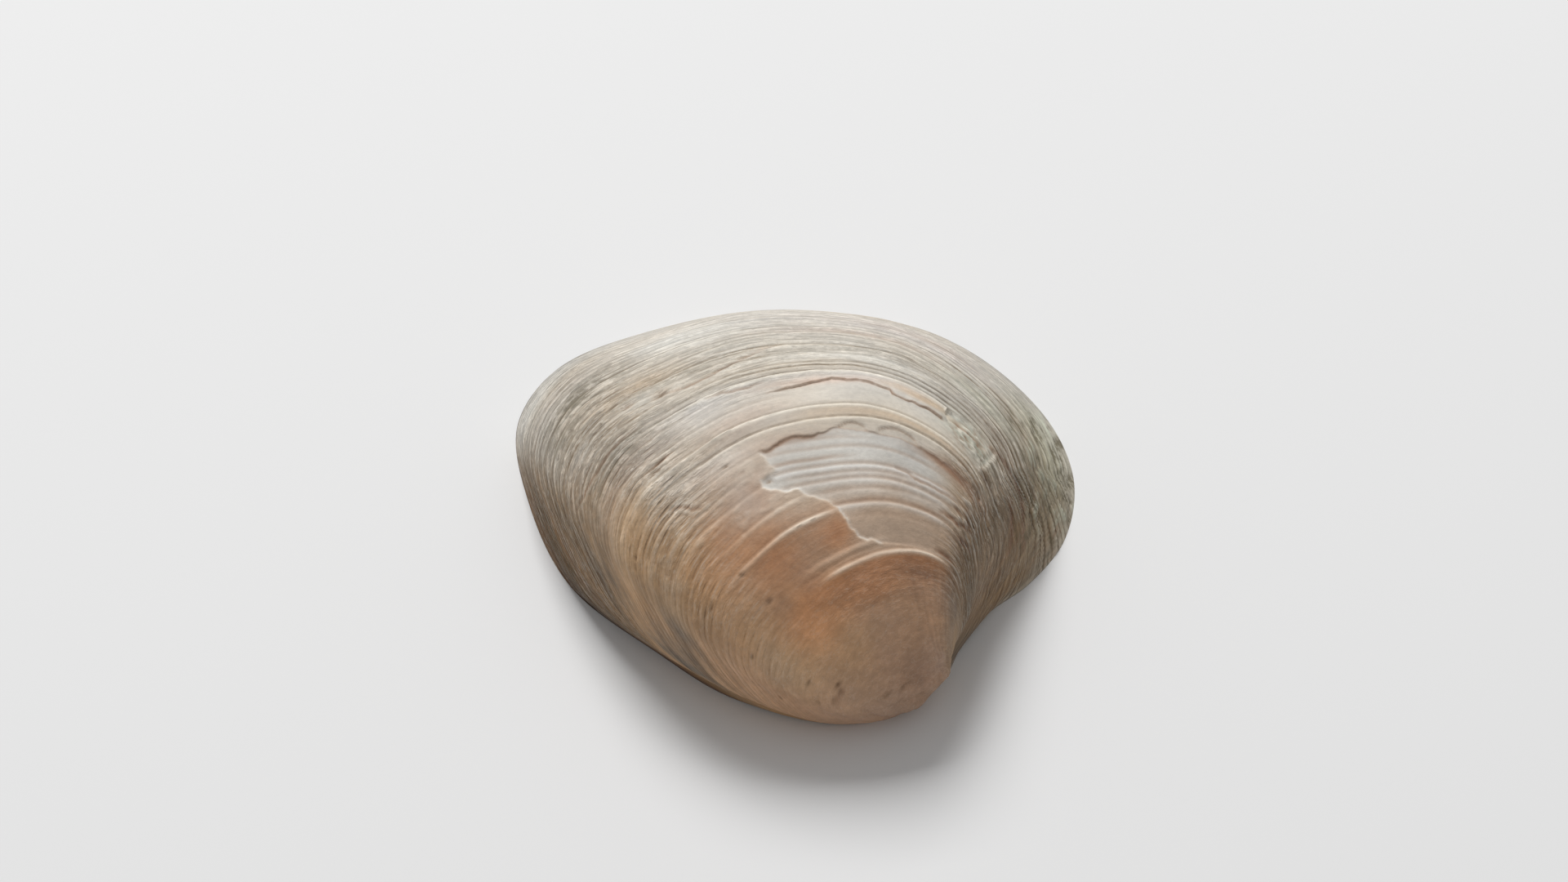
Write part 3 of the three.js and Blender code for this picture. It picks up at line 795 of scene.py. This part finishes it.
        # Darker between the crumbs, and paler on the raised ones, a painted highlight
        self.dark += 0.9 * patch * np.clip(-crumbs * 3 - 0.2, 0, 1)
        self.pale += 1.3 * patch * np.clip(crumbs * 4 - 0.5, 0, 1)

    def from_spot(self, at, when, length, width):
        """How far each point is from a spot along and across the growth lines, in lengths and widths."""
        along = (self.place - at) * RIM_LENGTH * when / length
        return along, (self.size - when) * GROWTH_LENGTH / width

    def add_flecks(self):
        for at, when, pale in FLECKS:
            along, across = self.from_spot(at, when, 0.9, 0.5)
            fleck = np.exp(-along ** 2 - across ** 2)
            self.relief += (0.25 if pale else -0.25) * fleck
            self.pale += 1.2 * pale * fleck
            self.dark += 0.9 * (1 - pale) * fleck

    def add_pits(self):
        self.pits = np.zeros(self.size.shape)
        for number, (at, when, length, width, depth) in enumerate(PITS):
            along, across = self.from_spot(at, when, length * 0.4, width * 0.4)
            ragged = 1 + 0.35 * noise(along * 2 + number * 5, across * 2, 95)
            pit = np.exp(-(along ** 2 + across ** 2) * ragged)
            self.relief -= depth * pit
            self.pits = np.maximum(self.pits, pit * smooth(0, 0.2, depth))

    def add_cracks(self):
        """Dark cracks, drawn wider at the right end, which is seen aslant. Most have a pale lip."""
        for number, line in enumerate(CRACKS):
            away = self.away_from(roughened(line, 0.3, 60 + number))
            ends = np.array(line)[[0, -1], 0]
            along = (self.place - ends.min()) / (ends.max() - ends.min())
            faint = 0.35 + 0.65 * smooth(0, 0.3, along) * smooth(1, 0.7, along)
            steep = smooth(0.26, 0.2, line[0][0])
            crack = bell(away, 0, 0.36 + 0.14 * steep) * faint
            lip = bell(away, 0.75, 0.35) * faint * (1 - steep) * (line[0][1] > LIPS_FROM)
            self.relief += 0.1 * lip - 0.15 * crack
            self.pale += 0.55 * lip
            self.dark += (0.55 + 0.95 * steep) * crack

    def band_tint(self):
        """The colour that each stretch of the rim has along its growth, wandering a little."""
        place, size = self.place, self.size
        wander = place + 0.02 * self.grain(5, 9, 101, 3)
        young = 0.06 * smooth(0.5, 0.3, size) * window(wander, 0.4, 0.6, 0.1)
        wander = np.where(size < 0.5, wander + young, wander)
        tint = np.zeros(size.shape + (3,))
        spots = [spot for spot, _ in BAND_PLACES]
        for number, (_, stops) in enumerate(BAND_PLACES):
            sizes = [stop[0] for stop in stops]
            shades = np.array([SHELL_COLOURS[stop[1]] for stop in stops], float)
            band = np.stack([np.interp(size, sizes, shades[:, part]) for part in range(3)], axis=-1)
            hat = np.interp(wander, spots, [float(k == number) for k in range(len(spots))])
            tint += band * hat[..., None]
        return tint

    def floor_tint(self):
        """The bare layer on the floor of the upper flake, sandy low down and ashen above."""
        cloud = self.grain(30, 34, 151, 3)
        sand, ash = (np.array(SHELL_COLOURS[name]) for name in ("sand", "ash"))
        ashen = smooth(0.39, 0.5, self.size + 0.02 * cloud)[..., None]
        return (sand * (1 - ashen) + ash * ashen) * (1.05 + 0.05 * cloud)[..., None]

    def blot_at(self, at, when, along, across):
        """A soft-edged stain with a wandering outline, 0 to 1."""
        along, across = (self.drift_place - at) / along, (self.drift_size - when) / across
        return np.exp(-0.9 * (along ** 2 + across ** 2))

    def add_colour(self):
        place, size = self.place, self.size
        pale, dark = np.clip(self.pale, 0, 1), np.clip(self.dark, 0, 1)
        floor_share = 0.8 * self.upper * smooth(0.37, 0.42, size) * smooth(0.17, 0.25, place)
        tint = towards(self.band_tint(), self.floor_tint(), floor_share)
        tint = towards(tint, "cream", 0.7 * self.outer)
        self.drift_place = place + 0.012 * self.grain(14, 16, 103, 3)
        self.drift_size = size + 0.012 * self.grain(14, 16, 107, 3)
        for at, when, along, across, amount, name in STAINS:
            weight = amount * self.blot_at(at, when, along, across)
            if at > 0.36 and 0.37 < when < 0.52:
                weight = weight * (1 - self.upper)
            tint = towards(tint, name, weight)
        tint = towards(tint, "stone", 0.6 * self.scabs)
        blotch, streak = self.grain(18, 26, 109, 4), self.grain(13, 70, 113, 3)
        tint *= (1 + 0.06 * blotch + 0.07 * streak * (0.35 + 0.65 * self.crowded))[..., None]
        ends = np.maximum(smooth(0.6, 0.67, place), 0.8 * self.low_right) * smooth(0.25, 0.45, size)
        tint *= (1 + 0.2 * ends * self.grain(11, 62, 117, 2))[..., None]
        warm = self.grain(10, 15, 127, 3) * (1 - 0.7 * self.upper)
        tint += warm[..., None] * WARMTH
        # Lighter on the growth layers' crests, a painted highlight, and darker after their drops
        tint *= (1 + 0.26 * (self.lines - 0.5))[..., None]
        # Pale marks: chip edges, crack lips, flecks, crumbs and the ledges' crests, the crests partly a
        # painted highlight
        crest = towards(np.array(SHELL_COLOURS["crest"], float), "frost", self.upper)
        tint = towards(tint, crest, 0.65 * pale)
        # Dark marks: painted shade in the breaks' undercuts, beside the upper break's right end and in the
        # floor ledges' grooves, with cracks, crumbs and dashes
        tint = towards(tint, "shade_and_crack", 0.85 * dark)
        # Painted highlight on the tops of the raised blots, a pale sage
        lit = 0.65 * np.clip(2.8 * self.blots - 0.15, 0, 1) * smooth(0.115, 0.15, place)
        tint = towards(tint, "blot_highlight", lit)
        tint *= (1 + 0.1 * self.fan)[..., None]
        tint = towards(tint, "pit", 0.55 * self.pits)
        self.tint = linear(np.clip(tint * 1.05, 0, 255) / 255)
        # Darker in the hollows between the raised blots and at the listed spots
        grime = np.clip(-3.2 * self.blots - 0.05, 0, 1)
        for at, when, along, across, amount in GRIME:
            amount = amount * (0.85 - 0.15 * smooth(0.42, 0.5, at))
            grime = np.maximum(grime, amount * self.blot_at(at, when, along, across))
        self.grime = np.maximum(grime * (1 - 0.8 * pale), 0.2 * self.pits)

    def add_streaks(self):
        """How much the material's own fine streaks show."""
        place, size = self.place, self.size
        reach = 0.16 * smooth(0.53, 0.58, place)
        softer = 0.5 * smooth(0.56 + reach, 0.44 + reach, size) * smooth(0.42, 0.48, place)
        self.streaky = np.clip(0.04 + 0.95 * self.crowded * (1 - softer) + 0.02 * self.upper, 0, 1)
        self.streaky += 0.25 * smooth(0.34, 0.3, size) * window(place, 0.12, 0.66, 0.05) * (1 - self.streaky)


def linear(value):
    return np.where(value <= 0.04045, value / 12.92, ((value + 0.055) / 1.055) ** 2.4)


def to_frame(points, middle):
    """From beak coordinates in millimetres to the part's frame in metres."""
    cosine, sine = math.cos(PLAN_TURN), math.sin(PLAN_TURN)
    x, y = points[..., 0], points[..., 1]
    turned = np.stack([x * cosine - y * sine, x * sine + y * cosine, points[..., 2]], axis=-1)
    return (turned - middle) * MM


def middle_of(points):
    turned = to_frame(points, np.zeros(3)) / MM
    low, high = turned.reshape(-1, 3).min(axis=0), turned.reshape(-1, 3).max(axis=0)
    return np.array([(low[0] + high[0]) / 2, (low[1] + high[1]) / 2, 0])


def inner_marks(places, step):
    """How deep the muscle scars and the line between them are at a row of the hollow, 0 to 1."""
    share = step / (HOLLOW_ROWS + 1)
    depth = 0.6 * window(places, SCARS[0][0], SCARS[1][0], 0.02) * bell(share, MANTLE_LINE, 0.025)
    for place, height in SCARS:
        away = ((places - place) / 0.045) ** 2 + ((share - height) / 0.13) ** 2
        depth = np.maximum(depth, np.exp(-away ** 3))
    return depth


def underside(shell):
    """Rows from the rim inwards over the flat rim and up into the hollow."""
    places, rim = shell.place[-1], shell.points[-1]
    hollow_x, hollow_y = closed_curve(HOLLOW_OUTLINE)(places)
    foot = np.stack([hollow_x, hollow_y, np.zeros_like(hollow_x)], axis=-1)
    shares = [step / RIM_ROWS for step in range(1, RIM_ROWS + 1)]
    rows = [rim * (1 - share) + foot * share for share in shares]
    for step in range(1, HOLLOW_ROWS + 1):
        turn = step / (HOLLOW_ROWS + 1) * math.pi / 2
        row = HOLLOW_TOP + (foot - HOLLOW_TOP) * math.cos(turn)
        row[:, 2] = HOLLOW_TOP[2] * math.sin(turn) ** HOLLOW_FLARE
        row[:, 2] += SCAR_DEPTH * inner_marks(places, step)
        rows.append(row)
    return np.array(rows)


def grid_faces(rows, columns):
    """Quads between the rows, which are rings, then the fans to the tip and to the hollow's top."""
    ring = np.arange(columns)
    onward = (ring + 1) % columns
    start = np.arange(rows - 1)[:, None] * columns
    below = start + columns
    quads = np.stack([start + ring, below + ring, below + onward, start + onward], axis=-1)
    tip, top, last = rows * columns, rows * columns + 1, (rows - 1) * columns
    pairs = list(zip(ring.tolist(), onward.tolist()))
    tip_fan = [(tip, near, far) for near, far in pairs]
    top_fan = [(top, last + far, last + near) for near, far in pairs]
    return quads.reshape(-1, 4).tolist() + tip_fan + top_fan


def inner_tint(shell, spots):
    """The underside's colour: stone with soft mottling, darker in the muscle scars."""
    mottle = layered(spots[:, 0] * 0.08, spots[:, 1] * 0.08 + spots[:, 2] * 0.05, 131, 4)[:, None]
    tint = np.array(SHELL_COLOURS["inside"], float) + mottle * INNER_MOTTLE
    marks = np.concatenate([inner_marks(shell.place[-1], step) for step in range(1, HOLLOW_ROWS + 1)])
    first = RIM_ROWS * shell.place.shape[1]
    tint[first:first + len(marks)] *= 1 - 0.14 * marks[:, None]
    return linear(tint / 255)


def add_values(mesh, name, width, outside, underneath=0.0):
    """Puts one value for every vertex on the mesh: the outer surface first, then the underside."""
    kind, field = {1: ("FLOAT", "value"), 3: ("FLOAT_VECTOR", "vector"), 4: ("FLOAT_COLOR", "color")}[width]
    held = min(width, 3)  # a colour comes as three, and stays opaque
    count = outside.size // held
    values = np.ones((len(mesh.vertices), width))
    values[:count, :held] = outside.reshape(count, held)
    values[count:, :held] = underneath
    values[-2] = values[0]  # the tip of the beak, kept after the underside's rows
    mesh.attributes.new(name, kind, "POINT").data.foreach_set(field, values.ravel().astype(np.float32))


def valve_mesh(shell):
    """One closed surface: tip, outer rows, rim, hollow."""
    grid = np.concatenate([shell.points, underside(shell)])
    rows, columns = grid.shape[:2]
    outer_rows = len(shell.points)
    middle = middle_of(shell.points)
    tip = shell.points[0].mean(axis=0)
    vertices = to_frame(np.vstack([grid.reshape(-1, 3), tip, HOLLOW_TOP]), middle)
    mesh = bpy.data.meshes.new("valve_surface")
    mesh.from_pydata(vertices.tolist(), [], grid_faces(rows, columns))
    mesh.polygons.foreach_set("use_smooth", np.ones(len(mesh.polygons), bool))
    around = shell.place * 2 * math.pi
    add_values(mesh, "lines", 3, np.stack([np.cos(around), np.sin(around), shell.age], axis=-1), (0, 0, 2))
    for name in ("ledges", "layers", "weights"):
        add_values(mesh, name, 3, getattr(shell, name))
    add_values(mesh, "tint", 4, shell.tint, inner_tint(shell, vertices[outer_rows * columns:] / MM))
    for name in ("grime", "streaky", "crested"):
        add_values(mesh, name, 1, getattr(shell, name))
    press_sockets(mesh, middle, outer_rows * columns, (outer_rows + RIM_ROWS - 2) * columns)
    mesh.set_sharp_from_angle(angle=math.radians(50))
    mesh.validate()
    mesh.update()
    return mesh, middle


def socket_depth(spot, root, margin):
    """How deep a spot of the flat rim lies in a socket, 0 to 1, with each socket widened by the margin."""
    away = (spot - root) / MM
    near, far = SOCKET_WIDTHS
    deepest = 0
    for angle in SOCKET_ANGLES:
        turn = math.radians(angle) + PLAN_TURN
        along = away.x * math.cos(turn) + away.y * math.sin(turn) - SOCKET_REACH
        aside = abs(away.y * math.cos(turn) - away.x * math.sin(turn))
        half = (near + (far - near) * along / SOCKET_LENGTH) / 2
        inward = min(along, SOCKET_LENGTH - along, half - aside) + margin
        deepest = max(deepest, float(smooth(0, SOCKET_SLOPE, inward)))
    return deepest


def press_sockets(mesh, middle, first, end):
    """The hinge sockets, in the flat rim's faces, which are first made finer there. Their floors are darkened
    with depth, a painted shade.
    """
    shape = bmesh.new()
    shape.from_mesh(mesh)
    shape.faces.ensure_lookup_table()
    tint = shape.verts.layers.float_color["tint"]
    root = Vector(to_frame(np.array([*SOCKET_ROOT, 0], float), middle))
    edges = set()
    for face in shape.faces[first:end]:
        if socket_depth(face.calc_center_median(), root, SOCKET_MARGIN):
            edges.update(face.edges)
    bmesh.ops.subdivide_edges(shape, edges=list(edges), cuts=6, use_grid_fill=True)
    for vertex in shape.verts:
        if abs(vertex.co.z) < 1e-7:
            depth = socket_depth(vertex.co, root, 0)
            vertex.co.z = depth * SOCKET_DEPTH * MM
            # Painted shade: the colour darker the deeper the socket
            vertex[tint] = Vector([*(vertex[tint].xyz * (1 - 0.5 * depth)), 1])
    shape.to_mesh(mesh)
    shape.free()


# Materials

class Nodes:
    """Short ways to write a node tree."""

    def __init__(self, name):
        self.material = bpy.data.materials.new(name)
        self.material.use_nodes = True
        self.tree = self.material.node_tree
        self.tree.nodes.clear()

    def add(self, kind, values=None, **settings):
        node = self.tree.nodes.new(kind)
        for name, value in settings.items():
            setattr(node, name, value)
        for name, value in (values or {}).items():
            self.feed(node.inputs[name], value)
        return node

    def feed(self, socket, value):
        if isinstance(value, bpy.types.NodeSocket):
            self.tree.links.new(value, socket)
        else:
            socket.default_value = value

    def attribute(self, name, output="Fac"):
        return self.add("ShaderNodeAttribute", attribute_name=name).outputs[output]

    def split(self, name):
        return self.add("ShaderNodeSeparateXYZ", {"Vector": self.attribute(name, "Vector")}).outputs

    def math(self, operation, first, *others, clamp=False):
        """The operation on the first value alone, or with each of the others in turn."""
        for other in others or (0.0,):
            node = self.add("ShaderNodeMath", {0: first, 1: other}, operation=operation, use_clamp=clamp)
            first = node.outputs[0]
        return first

    def times(self, *values):
        return self.math("MULTIPLY", *values)

    def plus(self, *values):
        return self.math("ADD", *values)

    def larger(self, *values):
        return self.math("MAXIMUM", *values)

    def apart(self, first, second):
        return self.math("ABSOLUTE", self.math("SUBTRACT", first, second))

    def range(self, value, low, high, to_low=0.0, to_high=1.0):
        values = {"Value": value, "From Min": low, "From Max": high, "To Min": to_low, "To Max": to_high}
        return self.add("ShaderNodeMapRange", values, interpolation_type="SMOOTHSTEP").outputs[0]

    def mix(self, share, first, second, blend="MIX"):
        values = {0: share, 6: first, 7: second}
        return self.add("ShaderNodeMix", values, data_type="RGBA", blend_type=blend).outputs[2]

    def shaded(self, base, value):
        """The colour with red, green and blue multiplied by the value."""
        grey = self.add("ShaderNodeCombineColor", {"Red": value, "Green": value, "Blue": value}).outputs[0]
        return self.mix(1.0, base, grey, "MULTIPLY")

    def noise(self, vector, scale, detail, roughness=0.55):
        values = {"Vector": vector, "Scale": scale, "Detail": detail, "Roughness": roughness}
        return self.add("ShaderNodeTexNoise", values).outputs["Fac"]

    def streaks(self, around, across, detail, roughness):
        """Noise drawn out along the growth lines."""
        values = {0: self.attribute("lines", "Vector"), 1: (around, around, across)}
        drawn = self.add("ShaderNodeVectorMath", values, operation="MULTIPLY").outputs[0]
        return self.noise(drawn, 1.0, detail, roughness)

    def hairline(self, value, width, level=0.5):
        """1 on the thin lines where the value passes the level."""
        return self.range(self.apart(value, level), width, 0.0)

    def seam(self, layer, lines, length):
        """The thin dark lines where growth layers end and the crests before them, each on some stretches. The
        crests are painted as highlights.
        """
        across = self.math("FRACT", layer)
        line = self.larger(self.range(across, 0.7, 0.95), self.range(across, 0.14, 0.0))
        crest = self.times(self.range(across, 0.4, 0.6), self.range(across, 0.76, 0.64))
        stretch = {name: self.times(lines[name], length) for name in ("X", "Y")}
        stretch["Z"] = self.times(self.math("FLOOR", layer), 0.73)
        drawn = self.add("ShaderNodeCombineXYZ", stretch).outputs[0]
        strength = self.range(self.noise(drawn, 1.0, 3.0), 0.38, 0.62, 0.05, 1.0)
        return self.times(line, strength), self.times(crest, strength)

    def ledge_line(self, ledges, mottle):
        """1 on the thin line of painted shade at the foot of each ledge's drop."""
        across = self.math("SUBTRACT", self.math("FRACT", ledges["X"]), 0.5)
        away = self.apart(self.times(across, ledges["Y"]), LEDGE_LINE_PLACE)
        line = self.range(self.plus(away, self.times(mottle, 0.2)), LEDGE_LINE_WIDTH + 0.1, 0.2)
        return self.times(line, self.math("MULTIPLY", ledges["Z"], 0.9, clamp=True))

    def surface(self, values):
        shader = self.add("ShaderNodeBsdfPrincipled", values)
        self.add("ShaderNodeOutputMaterial", {"Surface": shader.outputs[0]})
        return self.material


def colour(red, green, blue):
    """A colour given as seen on a screen, 0 to 255, as Blender keeps it."""
    return (*(float(linear(value / 255)) for value in (red, green, blue)), 1)


def shell_material():
    nodes = Nodes("fossil_shell")
    spot = nodes.add("ShaderNodeTexCoord").outputs["Object"]
    streaky = nodes.attribute("streaky")
    broad, fine = nodes.streaks(6, 150, 3.0, 0.55), nodes.streaks(16, 420, 3.0, 0.65)
    speck, mottle = nodes.noise(spot, 900.0, 4.0, 0.6), nodes.noise(spot, 480.0, 5.0, 0.65)
    base = nodes.attribute("tint", "Color")
    shade = nodes.range(nodes.plus(broad, nodes.times(fine, 0.6)), 0.55, 1.05, 0.84, 1.19)
    blotches = nodes.times(shade, nodes.range(mottle, 0.3, 0.7, 0.88, 1.12))
    base = nodes.mix(streaky, base, nodes.shaded(base, blotches))

    hairlines = nodes.larger(nodes.hairline(broad, 0.03), nodes.times(nodes.hairline(fine, 0.05), 0.6))
    hairlines = nodes.times(hairlines, 0.5, streaky)
    layers, weights, lines = nodes.split("layers"), nodes.split("weights"), nodes.split("lines")
    crests = 0.0
    for name, length in (("X", 7.0), ("Y", 5.0), ("Z", 4.0)):
        seam, crest = nodes.seam(layers[name], lines, length)
        hairlines = nodes.larger(hairlines, nodes.times(seam, weights[name]))
        crests = nodes.larger(crests, nodes.times(crest, weights[name]))
    hairlines = nodes.larger(hairlines, nodes.ledge_line(nodes.split("ledges"), mottle))
    broken = nodes.range(mottle, 0.36, 0.54, 0.6, 1.0)
    base = nodes.mix(nodes.times(hairlines, broken), base, nodes.mix(1.0, base, LINE_SHADE, "MULTIPLY"))

    edge = nodes.times(nodes.hairline(broad, 0.03, 0.56), streaky, 0.35)
    base = nodes.mix(edge, base, colour(*SHELL_COLOURS["edge"]))
    # Painted highlights on the growth layers' crests
    crest_highlight = nodes.times(crests, nodes.times(nodes.attribute("crested"), 0.4))
    base = nodes.mix(crest_highlight, base, colour(*SHELL_COLOURS["crest_highlight"]))
    fleck = nodes.range(nodes.streaks(14, 280, 2.0, 0.6), 0.62, 0.75, 0.0, 0.5)
    base = nodes.mix(nodes.times(fleck, streaky), base, colour(*SHELL_COLOURS["fleck"]))
    held = nodes.range(nodes.plus(broad, mottle), 1.12, 0.86, 0.15, 1.0)
    held = nodes.times(nodes.attribute("grime"), held, 0.85)
    base = nodes.mix(held, base, colour(*SHELL_COLOURS["loam"]))
    base = nodes.shaded(base, nodes.range(speck, 0.3, 0.7, 0.93, 1.06))

    grooves = nodes.math("SUBTRACT", nodes.plus(broad, nodes.times(fine, 0.4)), nodes.times(hairlines, 0.35))
    height = nodes.plus(nodes.times(grooves, streaky), nodes.times(speck, 0.2))
    bump = nodes.add("ShaderNodeBump", {"Strength": 1.0, "Distance": 0.0005, "Height": height}).outputs[0]
    rough = nodes.range(speck, 0.3, 0.7, 0.62, 0.78)
    return nodes.surface({"Base Color": base, "Roughness": rough, "Normal": bump, "Specular IOR Level": 0.3})


# The studio

def add_object(name, data):
    thing = bpy.data.objects.new(name, data)
    bpy.context.scene.collection.objects.link(thing)
    return thing


def add_floor():
    mesh = bpy.data.meshes.new("floor")
    corners = [(FLOOR_HALF * x, FLOOR_HALF * y, 0) for x, y in ((-1, -1), (1, -1), (1, 1), (-1, 1))]
    mesh.from_pydata(corners, [], [(0, 1, 2, 3)])
    floor = add_object("floor", mesh)
    grey = colour(FLOOR_GREY, FLOOR_GREY, FLOOR_GREY)
    mesh.materials.append(Nodes("studio_floor").surface({"Base Color": grey, "Roughness": 0.9}))


def direction(azimuth, elevation):
    """Where something stands seen from the middle, in degrees round from the front and up from level."""
    azimuth, elevation = math.radians(azimuth), math.radians(elevation)
    level = math.cos(elevation)
    return Vector((math.sin(azimuth) * level, -math.cos(azimuth) * level, math.sin(elevation)))


def add_lights():
    scene = bpy.context.scene
    scene.view_settings.view_transform = "Standard"
    world = bpy.data.worlds.new("studio")
    world.use_nodes = True
    world.node_tree.nodes["Background"].inputs["Color"].default_value = (1, 1, 1, 1)
    world.node_tree.nodes["Background"].inputs["Strength"].default_value = SURROUND_STRENGTH
    scene.world = world
    lamp = bpy.data.lights.new("key", "AREA")
    lamp.shape = "SQUARE"
    lamp.size = LIGHT_SIZE
    lamp.energy = LIGHT_POWER
    light = add_object("key", lamp)
    light.location = direction(LIGHT_AZIMUTH, LIGHT_ELEVATION) * LIGHT_DISTANCE
    light.rotation_euler = (-light.location).to_track_quat("-Z", "Y").to_euler()


def add_camera(middle):
    back = direction(VIEW_AZIMUTH, VIEW_ELEVATION)
    azimuth, roll = math.radians(VIEW_AZIMUTH), math.radians(VIEW_ROLL)
    level = Vector((math.cos(azimuth), math.sin(azimuth), 0))
    upright = back.cross(level)
    right = math.cos(roll) * level + math.sin(roll) * upright
    up = -math.sin(roll) * level + math.cos(roll) * upright
    target = Vector(to_frame(np.array(VIEW_TARGET, float), middle))
    place = target + (back * VIEW_DISTANCE - right * VIEW_SLIDE[0] - up * VIEW_SLIDE[1]) * MM
    data = bpy.data.cameras.new("camera")
    data.sensor_width = SENSOR_WIDTH
    data.lens = VIEW_SCALE * VIEW_DISTANCE / PHOTO_WIDTH * SENSOR_WIDTH
    data.clip_end = 20
    camera = add_object("camera", data)
    camera.matrix_world = Matrix.Translation(place) @ Matrix((right, up, back)).transposed().to_4x4()
    bpy.context.scene.camera = camera


def write_sizes():
    bpy.context.view_layer.update()


shell = Shell()
mesh, middle = valve_mesh(shell)
valve = add_object("valve", mesh)
mesh.materials.append(shell_material())
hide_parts("left_valve")
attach(valve, "root")
add_floor()
add_lights()
add_camera(middle)
write_sizes()
